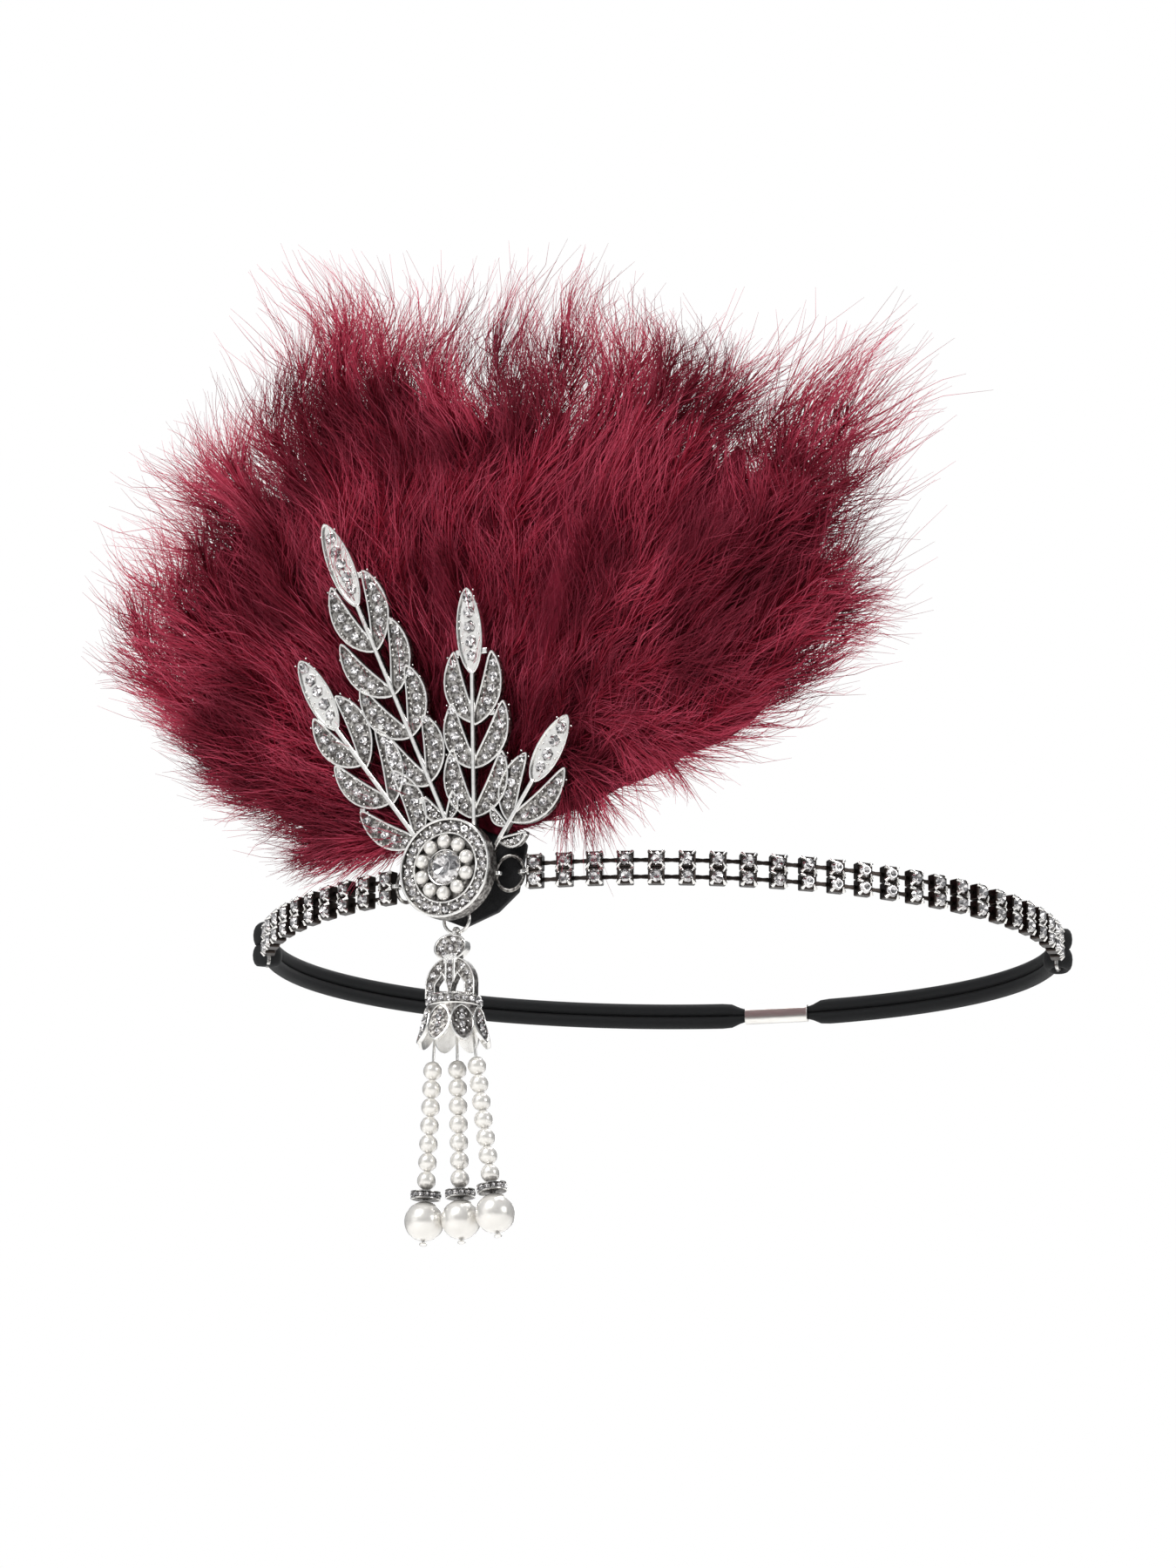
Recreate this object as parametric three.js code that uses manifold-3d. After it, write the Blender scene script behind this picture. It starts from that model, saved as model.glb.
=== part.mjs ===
import * as THREE from "three";
import { mergeVertices } from "three/addons/utils/BufferGeometryUtils.js";
import Module from "manifold-3d";

// Flapper headband: a two-row rhinestone chain and an elastic cord make the band, and a brooch
// with a leaf spray, a feather plume and a pearl drop sits on its front left.
// Millimetres, +Z up. The band lies level round the origin, and its front faces -Y.

// Band loop, an egg whose front half is deeper than its back half
const loopHalfWidth = 88;
const loopFrontDepth = 80;
const loopBackDepth = 70;

// Running clearance between pieces that touch
const clearance = 0.3;

// Two-row cup chain
const cupSize = 3.6;
const cupDepth = 2.4;
const rowPitch = 3.6;
const columnPitch = 6.45;
const columnsRight = 24;
const columnsLeft = 10;
const firstColumnReach = 18;
const stoneRadius = 1.62;
const stoneTableRadius = 0.95;
const stoneRise = 0.9;
const stoneFacets = 8;
const linkHeight = 0.9;
const linkDepth = 0.7;

// Open frame at each chain end, whose bar the elastic is tied round
const frameWire = 0.8;
const barRadius = 0.6;

// Elastic: two round cords, one above the other
const cordRadius = 1.4;
const knotCordRadius = 1.5;
const knotSpread = 2.3;
const knotTaper = 10;
const cordStep = 7.5;

// Flat metal crimp that joins the elastic's ends
const crimpAngle = THREE.MathUtils.degToRad(162);
const crimpLength = 15;
const crimpHeight = 4.1;
const crimpDepth = 3;
const crimpWall = 0.42;
const crimpGroove = 0.25;
const crimpTaper = 9;
const squeezedRadius = 0.68;
const squeezedSpread = 0.66;

// Brooch place: its angle round the loop, its lift above the band and its set-back
const broochAngle = THREE.MathUtils.degToRad(-29.6);
const broochLift = 1.2;
const broochSetback = 1.2;

// Medallion: a disc on a narrow hub, with two raised rims
const discRadius = 10.8;
const discBack = 3.2;
const discDepth = 3.8;
const hubRadius = 5.2;
const hubBack = -1.6;
const rimWidth = 0.55;
const paveDrop = 0.8;
const innerRimRadius = 7.5;
const innerRimWidth = 0.45;
const innerRimDrop = 0.35;
const wellDrop = 1.9;

// Pearls and faceted crystal in the medallion's well
const ringPearls = 10;
const ringPearlRadius = 1.5;
const pearlCircleRadius = 5.6;
const crystalRadius = 3.8;
const crystalFootRadius = 2.4;
const crystalTableRadius = 2.2;
const crystalPavilion = 1;
const crystalGirdle = 0.35;
const crystalCrown = 1.5;
const crystalFacets = 12;

// Round wire rings and the pierced lugs that they pass through
const ringRadius = 3;
const ringWire = 0.45;
const lugHole = 0.77;
const lugRim = 0.5;
const lugThickness = 0.85;
const ringPlane = 1.1;
const dropRingHang = 7;

// Black felt pad behind the brooch
const feltThickness = 1.5;
const feltFront = hubBack - clearance;

// Leaf spray: a thin casting that leans forward from behind the disc
const sprayDepth = 1.4;
const sprayMid = 1.85;
const sprayPivot = 8;
const sprayLean = THREE.MathUtils.degToRad(6.8);
const leafFloor = 0.55;
const leafRim = 0.55;
const stemWidth = 1.05;
const stemRootLength = 3;
const tabSize = 1.7;
const yokeInner = 6;
const yokeOuter = 9.6;
const terminalLeafWidth = 6.4;
const sideLeafWidth = 5;

// Feather plume
const plumeReach = 105;
const plumeRise = 140;
const plumeRootHeight = 8.5;
const plumeWrap = 260;
const plumeFlatHalf = 18;
const lockWidth = 30;
const lockSides = 6;

// Drop: a cast disc, arch and bell of petals, hung from the drop ring
const dropDepth = 2;
const dropPlane = 0.8;
const dropDiscRadius = 3.1;
const dropDiscFall = 3.6;
const neckWidth = 3.4;
const archHalfWidth = 5.9;
const archTop = 5.6;
const archFoot = 14.2;
const archArm = 2.4;
const tongueWidth = 1.8;
const windowTop = 9.4;
const barHeight = 2.3;
const barHalfWidth = 4.6;
const bellTopRadius = 5.8;
const bellMouthRadius = 7.85;
const bellHeight = 8.3;
const bellWall = 0.65;
const bellRoof = 0.9;
const bellCentre = 0.6;
const bellPetals = 8;
const petalNotch = 3;

// Pearl strings under the bell
const stringWire = 0.4;
const smallPearls = 7;
const smallPearlRadius = 2;
const smallPearlPitch = 3.88;
const stringLead = 12.6;
const rondelleRadius = 3.3;
const rondelleHeight = 1.8;
const bigPearlRadius = 4.2;
const stringEndRadius = 0.85;

const wasm = await Module();
wasm.setup();

const silver = { color: 0xa9a6a0, metalness: 1, roughness: 0.35 };
const stoneSilver = { color: 0xbdbbb8, metalness: 0.8, roughness: 0.2 };
const gunmetal = { color: 0x59534f, metalness: 1, roughness: 0.35 };
const pearl = { color: 0xf1ece2, metalness: 0, roughness: 0.25 };
const crystal = { color: 0xdfe3e6, metalness: 0, roughness: 0.05 };
const felt = { color: 0x121212, metalness: 0, roughness: 0.95 };
const elastic = { color: 0x17191b, metalness: 0, roughness: 0.7 };
const feather = { color: 0x7a1f33, metalness: 0, roughness: 0.9 };

// Solids

function solidFrom(geometry) {
  const bare = geometry.clone();
  bare.deleteAttribute("normal");
  bare.deleteAttribute("uv");
  const merged = mergeVertices(bare, 1e-4);
  return new wasm.Manifold(
    new wasm.Mesh({
      numProp: 3,
      vertProperties: merged.attributes.position.array,
      triVerts: new Uint32Array(merged.index.array),
    }),
  );
}

function geometryFrom(solid) {
  const mesh = solid.getMesh();
  const geometry = new THREE.BufferGeometry();
  geometry.setAttribute("position", new THREE.BufferAttribute(mesh.vertProperties, 3));
  geometry.setIndex(new THREE.BufferAttribute(mesh.triVerts, 1));
  const flat = geometry.toNonIndexed();
  flat.computeVertexNormals();
  return flat;
}

function joined(geometries) {
  const solids = geometries.map(solidFrom);
  return solids.reduce((sum, next) => sum.add(next));
}

function cut(solid, geometries) {
  return geometries.reduce((rest, tool) => rest.subtract(solidFrom(tool)), solid);
}

function piece(name, shape, look, parent) {
  const geometry = shape.isBufferGeometry ? shape : geometryFrom(shape);
  const mesh = new THREE.Mesh(geometry, new THREE.MeshStandardMaterial(look));
  mesh.name = name;
  parent.add(mesh);
  return mesh;
}

// Rings of points, one after another, joined by a skin and closed by a fan at each end
function loft(rings) {
  const sides = rings[0].length;
  const positions = rings.flat().flatMap((point) => point.toArray());
  const faces = [];
  for (let ring = 0; ring + 1 < rings.length; ring += 1) {
    for (let side = 0; side < sides; side += 1) {
      const next = (side + 1) % sides;
      const low = ring * sides;
      const high = low + sides;
      faces.push(low + side, low + next, high + next);
      faces.push(low + side, high + next, high + side);
    }
  }
  const ends = [rings[0], rings[rings.length - 1]];
  ends.forEach((ring, end) => {
    const middle = ring.reduce((sum, point) => sum.add(point), new THREE.Vector3());
    middle.divideScalar(sides);
    const centre = positions.push(...middle.toArray()) / 3 - 1;
    const start = end === 0 ? 0 : (rings.length - 1) * sides;
    for (let side = 0; side < sides; side += 1) {
      const next = (side + 1) % sides;
      const edge = end === 0 ? [start + next, start + side] : [start + side, start + next];
      faces.push(centre, ...edge);
    }
  });
  const geometry = new THREE.BufferGeometry();
  geometry.setAttribute("position", new THREE.Float32BufferAttribute(positions, 3));
  geometry.setIndex(faces);
  return geometry;
}

function block(low, high) {
  const size = high.map((value, axis) => value - low[axis]);
  const geometry = new THREE.BoxGeometry(...size);
  return geometry.translate(...low.map((value, axis) => value + size[axis] / 2));
}

// A straight bar between two points of a plate, from a low to a high depth
function bar(from, to, width, low, high) {
  const along = new THREE.Vector2().subVectors(to, from);
  const geometry = block([0, -width / 2, low], [along.length(), width / 2, high]);
  geometry.rotateZ(along.angle());
  return geometry.translate(from.x, from.y, 0);
}

// A turned shape about the Z axis; the profile gives radius and height pairs
function turned(profile, segments) {
  const points = profile.map(([radius, height]) => new THREE.Vector2(radius, height));
  const geometry = new THREE.LatheGeometry(points, segments);
  return geometry.rotateX(Math.PI / 2);
}

// A cut stone seen from its table: an eight-sided crown on a straight foot
function cutStone(radius, table, rise, foot, facets) {
  return turned([[0, -foot], [radius, -foot], [radius, 0], [table, rise], [0, rise]], facets);
}

function mix(from, to, share) {
  return THREE.MathUtils.lerp(from, to, share);
}

function fromTable(rows, key, place, column) {
  const after = rows.findIndex((row) => row[key] >= place);
  if (after === 0) {
    return rows[0][column];
  }
  if (after < 0) {
    return rows[rows.length - 1][column];
  }
  const low = rows[after - 1];
  const high = rows[after];
  const share = (place - low[key]) / (high[key] - low[key]);
  return mix(low[column], high[column], share);
}

// Band loop

function loopDepth(angle) {
  return Math.cos(angle) > 0 ? loopFrontDepth : loopBackDepth;
}

function bandPoint(angle) {
  return new THREE.Vector3(loopHalfWidth * Math.sin(angle), -loopDepth(angle) * Math.cos(angle), 0);
}

function bandTangent(angle) {
  return new THREE.Vector3(loopHalfWidth * Math.cos(angle), loopDepth(angle) * Math.sin(angle), 0);
}

// The angle reached by walking a distance round the loop
function bandAlong(angle, distance) {
  const steps = Math.ceil(Math.abs(distance)) * 2;
  const step = distance / steps;
  let place = angle;
  for (let count = 0; count < steps; count += 1) {
    const half = place + step / 2 / bandTangent(place).length();
    place += step / bandTangent(half).length();
  }
  return place;
}

// X along the band, Y up, Z away from the head
function bandFrame(angle) {
  const along = bandTangent(angle).normalize();
  const up = new THREE.Vector3(0, 0, 1);
  const out = new THREE.Vector3().crossVectors(along, up);
  return new THREE.Matrix4().makeBasis(along, up, out).setPosition(bandPoint(angle));
}

// Rhinestone chain: side is 1 to the right of the brooch and -1 to its left

const lugHalf = lugHole + lugRim;
const chainLugReach = cupSize / 2 + clearance + ringWire;
const endFrameHalf = knotSpread + knotCordRadius + clearance + frameWire;
const knotRadius = barRadius + clearance + knotCordRadius;
const barReach = cupSize / 2 + frameWire + clearance + knotRadius + knotCordRadius;

function columnAngle(side, index) {
  return bandAlong(broochAngle, side * (firstColumnReach + index * columnPitch));
}

function cupColumn(frame) {
  const halfWidth = cupSize / 2;
  const halfHeight = (rowPitch + cupSize) / 2;
  const halfDepth = cupDepth / 2;
  const cups = block([-halfWidth, -halfHeight, -halfDepth], [halfWidth, halfHeight, halfDepth]);
  const stones = [-1, 1].map((row) => {
    const stone = cutStone(stoneRadius, stoneTableRadius, stoneRise, cupDepth / 2, stoneFacets);
    stone.rotateZ(Math.PI / stoneFacets);
    return stone.translate(0, (row * rowPitch) / 2, halfDepth);
  });
  return [cups, ...stones].map((geometry) => geometry.applyMatrix4(frame));
}

function linkStrip(frames, row) {
  const low = (row * rowPitch - linkHeight) / 2;
  const high = low + linkHeight;
  const back = -linkDepth - 0.1;
  const corners = [[low, back], [low, back + linkDepth], [high, back + linkDepth], [high, back]];
  const rings = frames.map((frame) =>
    corners.map(([height, depth]) => new THREE.Vector3(0, height, depth).applyMatrix4(frame)),
  );
  return loft(rings.reverse());
}

function chainSolid(side, columns) {
  const frames = [];
  for (let index = 0; index < columns; index += 1) {
    frames.push(bandFrame(columnAngle(side, index)));
  }
  const ordered = side > 0 ? frames : [...frames].reverse();
  const first = frames[0];
  const last = frames[columns - 1];
  const shapes = frames.flatMap(cupColumn);
  shapes.push(linkStrip(ordered, -1), linkStrip(ordered, 1));
  const thick = lugThickness / 2;
  const lugEnd = -side * (chainLugReach + lugHalf);
  const lug = block(
    [Math.min(0, lugEnd), -thick, -lugHalf],
    [Math.max(0, lugEnd), thick, lugHalf],
  );
  shapes.push(lug.applyMatrix4(first));
  const sideways = (near, far) => (side > 0 ? [near, far] : [-far, -near]);
  const half = frameWire / 2;
  const [plateLow, plateHigh] = sideways(cupSize / 2 - half, cupSize / 2 + frameWire);
  const plate = block([plateLow, -endFrameHalf, -half], [plateHigh, endFrameHalf, half]);
  shapes.push(plate.applyMatrix4(last));
  const [armLow, armHigh] = sideways(cupSize / 2, barReach + barRadius);
  [-1, 1].forEach((end) => {
    const inner = end * (endFrameHalf - frameWire);
    const outer = end * endFrameHalf;
    const low = Math.min(inner, outer);
    const arm = block([armLow, low, -half], [armHigh, low + frameWire, half]);
    shapes.push(arm.applyMatrix4(last));
  });
  const post = new THREE.CylinderGeometry(barRadius, barRadius, 2 * endFrameHalf - frameWire, 8);
  post.translate(side * barReach, 0, 0);
  shapes.push(post.applyMatrix4(last));
  const hole = new THREE.CylinderGeometry(lugHole, lugHole, 3, 10);
  hole.translate(-side * chainLugReach, 0, 0);
  return cut(joined(shapes), [hole.applyMatrix4(first)]);
}

// Elastic: a strap of two cords, knotted round the end bar and squeezed into the crimp

// Outline of two cords, one above the other, with a narrow web between them
function cordOutline(radius, spread) {
  const points = [];
  [1, -1].forEach((end) => {
    for (let turn = 0; turn < 5; turn += 1) {
      const angle = THREE.MathUtils.degToRad(-50 + turn * 70) + (end < 0 ? Math.PI : 0);
      points.push([radius * Math.cos(angle), end * spread + radius * Math.sin(angle)]);
    }
  });
  return points;
}

const crimpHalf = crimpLength / 2;

function crimpMatrix() {
  const low = bandPoint(bandAlong(crimpAngle, -crimpHalf));
  const high = bandPoint(bandAlong(crimpAngle, crimpHalf));
  const along = new THREE.Vector3().subVectors(high, low).normalize();
  const up = new THREE.Vector3(0, 0, 1);
  const out = new THREE.Vector3().crossVectors(along, up);
  const middle = new THREE.Vector3().addVectors(low, high).divideScalar(2);
  return new THREE.Matrix4().makeBasis(along, up, out).setPosition(middle);
}

function elasticSolid(side, columns) {
  const chainEnd = columnAngle(side, columns - 1);
  const knotFrame = bandFrame(chainEnd);
  const barPlace = new THREE.Vector3(side * barReach, 0, 0).applyMatrix4(knotFrame);
  knotFrame.setPosition(barPlace);
  const start = bandAlong(chainEnd, side * barReach);
  const crimpCentre = side > 0 ? crimpAngle : crimpAngle - 2 * Math.PI;
  const mouth = bandAlong(crimpCentre, -side * crimpHalf);
  let length = 0;
  let place = start;
  while (side * (mouth - place) > 0) {
    place = bandAlong(place, side * 0.5);
    length += 0.5;
  }
  const steps = Math.round(length / cordStep);
  const step = length / steps;
  const rings = [];
  const addRing = (frame, radius, spread) => {
    const ring = cordOutline(radius, spread).map(([depth, height]) =>
      new THREE.Vector3(0, height, depth).applyMatrix4(frame),
    );
    rings.push(ring);
  };
  const startFrame = knotFrame.clone();
  const offset = new THREE.Vector3(side * (knotRadius - 0.6), 0, 0).applyMatrix4(knotFrame);
  startFrame.setPosition(offset);
  addRing(startFrame, cordRadius, knotSpread);
  for (let index = 1; index <= steps; index += 1) {
    const gone = index * step;
    const fromKnot = Math.min(1, gone / knotTaper);
    const toCrimp = Math.max(0, 1 - (length - gone) / crimpTaper);
    const spread = mix(mix(knotSpread, cordRadius, fromKnot), squeezedSpread, toCrimp);
    const radius = mix(cordRadius, squeezedRadius, toCrimp);
    addRing(bandFrame(bandAlong(start, side * gone)), radius, spread);
  }
  const tail = crimpMatrix();
  tail.setPosition(new THREE.Vector3(-side * clearance, 0, 0).applyMatrix4(tail));
  addRing(tail, squeezedRadius, squeezedSpread);
  const strap = loft(side > 0 ? rings.reverse() : rings);
  const lobes = [-1, 1].map((end) => {
    const lobe = new THREE.TorusGeometry(knotRadius, knotCordRadius, 6, 10);
    lobe.rotateX(Math.PI / 2);
    lobe.translate(0, end * knotSpread, 0);
    return lobe.applyMatrix4(knotFrame);
  });
  return joined([strap, ...lobes]);
}

function crimpGeometry() {
  const rounded = (height, depth, groove) => {
    const side = height / 2;
    const face = depth / 2;
    const corner = depth * 0.3;
    const points = [
      [-face, -side + corner],
      [-face + corner, -side],
      [face - corner, -side],
      [face, -side + corner],
      [face, -corner / 2],
      [face - groove, 0],
      [face, corner / 2],
      [face, side - corner],
      [face - corner, side],
      [-face + corner, side],
      [-face, side - corner],
    ];
    return points.map(([x, y]) => new THREE.Vector2(x, y));
  };
  const shape = new THREE.Shape(rounded(crimpHeight, crimpDepth, crimpGroove));
  const bore = rounded(crimpHeight - 2 * crimpWall, crimpDepth - 2 * crimpWall, 0);
  shape.holes.push(new THREE.Path(bore));
  const geometry = new THREE.ExtrudeGeometry(shape, { depth: crimpLength, bevelEnabled: false });
  geometry.translate(0, 0, -crimpHalf);
  // The tube's length turns from Z to X, and its grooved face turns outward to Z
  return geometry.rotateY(-Math.PI / 2).applyMatrix4(crimpMatrix());
}

// Brooch group: X along the disc, Y up, Z away from the head

const broochFrame = bandFrame(broochAngle);
const broochPlace = new THREE.Vector3(0, broochLift, -broochSetback).applyMatrix4(broochFrame);
broochFrame.setPosition(broochPlace);

// Where a chain's lug hole lies in the brooch's frame
function chainHole(side) {
  const frame = bandFrame(columnAngle(side, 0));
  const hole = new THREE.Vector3(-side * chainLugReach, 0, 0).applyMatrix4(frame);
  return hole.applyMatrix4(broochFrame.clone().invert());
}

// Where the disc's own lug hole lies, one ring's width nearer the middle
function discHole(side) {
  const far = chainHole(side);
  const step = Math.sqrt((2 * ringRadius) ** 2 - (far.z - ringPlane) ** 2);
  return new THREE.Vector3(far.x - side * step, far.y, ringPlane);
}

function medallionSolid() {
  const face = discBack + discDepth;
  const paveFloor = face - paveDrop;
  const well = face - wellDrop;
  const rimInside = discRadius - rimWidth;
  const innerOutside = innerRimRadius + innerRimWidth / 2;
  const innerInside = innerRimRadius - innerRimWidth / 2;
  const body = turned(
    [
      [0, hubBack],
      [hubRadius, hubBack],
      [hubRadius, discBack],
      [discRadius, discBack],
      [discRadius, face],
      [rimInside, face],
      [rimInside, paveFloor],
      [innerOutside, paveFloor],
      [innerOutside, face - innerRimDrop],
      [innerInside, face - innerRimDrop],
      [innerInside, well],
      [0, well],
    ],
    24,
  );
  const shapes = [body];
  const holes = [];
  [-1, 1].forEach((side) => {
    const hole = discHole(side);
    const inner = side * (hubRadius - 0.6);
    const outer = hole.x + side * lugHalf;
    const half = lugThickness / 2;
    const low = [Math.min(inner, outer), hole.y - half, ringPlane - lugHalf];
    const high = [Math.max(inner, outer), hole.y + half, discBack + 0.3];
    shapes.push(block(low, high));
    const drill = new THREE.CylinderGeometry(lugHole, lugHole, 3, 10);
    holes.push(drill.translate(hole.x, hole.y, ringPlane));
  });
  const half = lugThickness / 2;
  const lug = block(
    [-half, -dropRingHang - lugHalf, ringPlane - lugHalf],
    [half, -hubRadius + 0.6, discBack + 0.3],
  );
  shapes.push(lug);
  const drill = new THREE.CylinderGeometry(lugHole, lugHole, 3, 10).rotateZ(Math.PI / 2);
  holes.push(drill.translate(0, -dropRingHang, ringPlane));
  return cut(joined(shapes), holes);
}

function sideRing(side) {
  const near = discHole(side);
  const far = chainHole(side);
  const across = new THREE.Vector3().subVectors(far, near).normalize();
  const up = new THREE.Vector3(0, 1, 0);
  const out = new THREE.Vector3().crossVectors(across, up);
  const middle = new THREE.Vector3().addVectors(near, far).divideScalar(2);
  const ring = new THREE.TorusGeometry(ringRadius, ringWire, 5, 16);
  return ring.applyMatrix4(new THREE.Matrix4().makeBasis(across, up, out).setPosition(middle));
}

function crystalGeometry() {
  const foot = discBack + discDepth - wellDrop + clearance;
  const girdle = foot + crystalPavilion;
  return turned(
    [
      [0, foot],
      [crystalFootRadius, foot],
      [crystalRadius, girdle],
      [crystalRadius, girdle + crystalGirdle],
      [crystalTableRadius, girdle + crystalGirdle + crystalCrown],
      [0, girdle + crystalGirdle + crystalCrown],
    ],
    crystalFacets,
  );
}

// Felt: a hand-cut patch, given as directions and shares of the disc's radius
function feltGeometry() {
  const corners = [
    { degrees: -138, share: 1.1 },
    { degrees: -90, share: 1.15 },
    { degrees: -42, share: 1.44 },
    { degrees: -14, share: 1.42 },
    { degrees: 20, share: 1.45 },
    { degrees: 50, share: 1.42 },
    { degrees: 90, share: 1.3 },
    { degrees: 128, share: 1.3 },
    { degrees: 160, share: 1.22 },
    { degrees: 190, share: 1.16 },
  ];
  const points = corners.map(({ degrees, share }) => {
    const angle = THREE.MathUtils.degToRad(degrees);
    const reach = share * discRadius;
    return new THREE.Vector2(reach * Math.cos(angle), reach * Math.sin(angle));
  });
  const shape = new THREE.Shape(points);
  const geometry = new THREE.ExtrudeGeometry(shape, { depth: feltThickness, bevelEnabled: false });
  return geometry.translate(0, 0, feltFront - feltThickness);
}

// Leaf spray

const leafWidths = [
  { along: 0, half: 0 },
  { along: 0.3, half: 1 },
  { along: 0.68, half: 0.9 },
  { along: 1, half: 0 },
];

// Each sprig is a straight stem with a leaf at its tip and side leaves in pairs.
// Angles are in degrees, up from the disc's right; lengths are in millimetres.
// A leaf row gives its place along the stem, its turn from the stem and its length.
const sprigs = [
  {
    foot: [-1.9, 11.2], angle: 111.8, length: 52.5, tipAngle: 111.8, tipLength: 20.7,
    leaves: [
      { at: 0.79, turn: 12.7, size: 18.7 }, { at: 0.79, turn: -13.4, size: 18.4 },
      { at: 0.585, turn: 23.6, size: 18.1 }, { at: 0.585, turn: -20, size: 17.1 },
      { at: 0.39, turn: 23.4, size: 17.2 }, { at: 0.39, turn: -19.3, size: 15.9 },
      { at: 0.17, turn: 20.6, size: 15.7 }, { at: 0.18, turn: -17.6, size: 14.9 },
      { at: 0, turn: 20.6, size: 7.9 }, { at: 0, turn: -37, size: 6.8 },
    ],
  },
  {
    foot: [-8.1, 6.6], angle: 125.8, length: 33.5, tipAngle: 118.4, tipLength: 18.5,
    leaves: [
      { at: 0.7, turn: 10.2, size: 16.5 }, { at: 0.66, turn: -13.9, size: 18.2 },
      { at: 0.37, turn: 19, size: 16.5 }, { at: 0.35, turn: -24.9, size: 17.4 },
      { at: 0.03, turn: 24.4, size: 16.5 }, { at: 0.03, turn: -16, size: 17.2 },
    ],
  },
  {
    foot: [4.8, 10.4], angle: 88, length: 31.6, tipAngle: 91.8, tipLength: 18.8,
    leaves: [
      { at: 0.67, turn: 16.2, size: 16.3 }, { at: 0.65, turn: -16.8, size: 16.5 },
      { at: 0.36, turn: 19.8, size: 15.3 }, { at: 0.36, turn: -27.8, size: 15.9 },
      { at: 0.02, turn: 18.4, size: 16.3 }, { at: 0.03, turn: -26.9, size: 15.5 },
    ],
  },
  {
    foot: [10.3, 5.7], angle: 53.1, length: 14.5, tipAngle: 55.3, tipLength: 16.2,
    leaves: [
      { at: 0.32, turn: 18.5, size: 15.2 }, { at: 0.33, turn: -17.4, size: 17.1 },
      { at: 0.25, turn: 73, size: 5.9 }, { at: 0, turn: -44, size: 7 },
    ],
  },
];

// Small square tabs that tie neighbouring leaves together
const sprayTabs = [
  [-21.1, 66.9], [-24.9, 65.2], [-13.7, 55.9], [-17.1, 33.3], [-30.1, 35.7], [-28, 25.1],
  [-22.4, 15.7], [-7.8, 16.3], [8.9, 46.7], [2.7, 46.9], [10.2, 33.3],
];

// A pointed oval with a raised rim round a sunk floor
function leafSolid(base, degrees, length, width) {
  const outline = (inset) => {
    const points = leafWidths.map(({ along, half }) => {
      const reach = mix(inset * 2, length - inset * 2.6, along);
      return new THREE.Vector2(reach, -half * (width / 2 - inset));
    });
    const back = points.slice(1, -1).reverse();
    return [...points, ...back.map((point) => new THREE.Vector2(point.x, -point.y))];
  };
  const depth = sprayDepth;
  const whole = new THREE.ExtrudeGeometry(new THREE.Shape(outline(0)), {
    depth, bevelEnabled: false,
  });
  const sunk = new THREE.ExtrudeGeometry(new THREE.Shape(outline(leafRim)), {
    depth, bevelEnabled: false,
  });
  sunk.translate(0, 0, depth - leafFloor);
  const turn = THREE.MathUtils.degToRad(degrees);
  const laid = [whole, sunk].map((geometry) =>
    geometry.rotateZ(turn).translate(base.x, base.y, -depth / 2),
  );
  return cut(solidFrom(laid[0]), [laid[1]]);
}

function yokeGeometry() {
  const from = THREE.MathUtils.degToRad(22);
  const to = THREE.MathUtils.degToRad(150);
  const shape = new THREE.Shape();
  shape.absarc(0, 0, yokeOuter, from, to, false);
  shape.absarc(0, 0, yokeInner, to, from, true);
  const options = { depth: sprayDepth / 2, bevelEnabled: false, curveSegments: 10 };
  return new THREE.ExtrudeGeometry(shape, options).translate(0, 0, -sprayDepth / 2);
}

function spraySolid() {
  const half = sprayDepth / 2;
  const bars = [yokeGeometry()];
  const leaves = [];
  sprigs.forEach(({ foot, angle, length, tipAngle, tipLength, leaves: rows }) => {
    const turn = THREE.MathUtils.degToRad(angle);
    const along = new THREE.Vector2(Math.cos(turn), Math.sin(turn));
    const start = new THREE.Vector2(...foot);
    const tip = start.clone().addScaledVector(along, length);
    const root = start.clone().addScaledVector(along, -stemRootLength);
    bars.push(bar(root, tip.clone().addScaledVector(along, leafRim), stemWidth, -half, half));
    leaves.push(leafSolid(tip, tipAngle, tipLength, terminalLeafWidth));
    rows.forEach(({ at, turn: lean, size }) => {
      const base = start.clone().addScaledVector(along, at * length);
      const width = Math.min(sideLeafWidth, size * 0.42);
      leaves.push(leafSolid(base, angle + lean, size, width));
    });
  });
  sprayTabs.forEach(([across, up]) => {
    const side = tabSize / 2;
    bars.push(block([across - side, up - side, -half], [across + side, up + side, half - 0.15]));
  });
  const flat = leaves.reduce((sum, next) => sum.add(next), joined(bars));
  const geometry = geometryFrom(flat);
  geometry.translate(0, -sprayPivot, 0).rotateX(sprayLean);
  return geometry.translate(0, sprayPivot, sprayMid);
}

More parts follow.
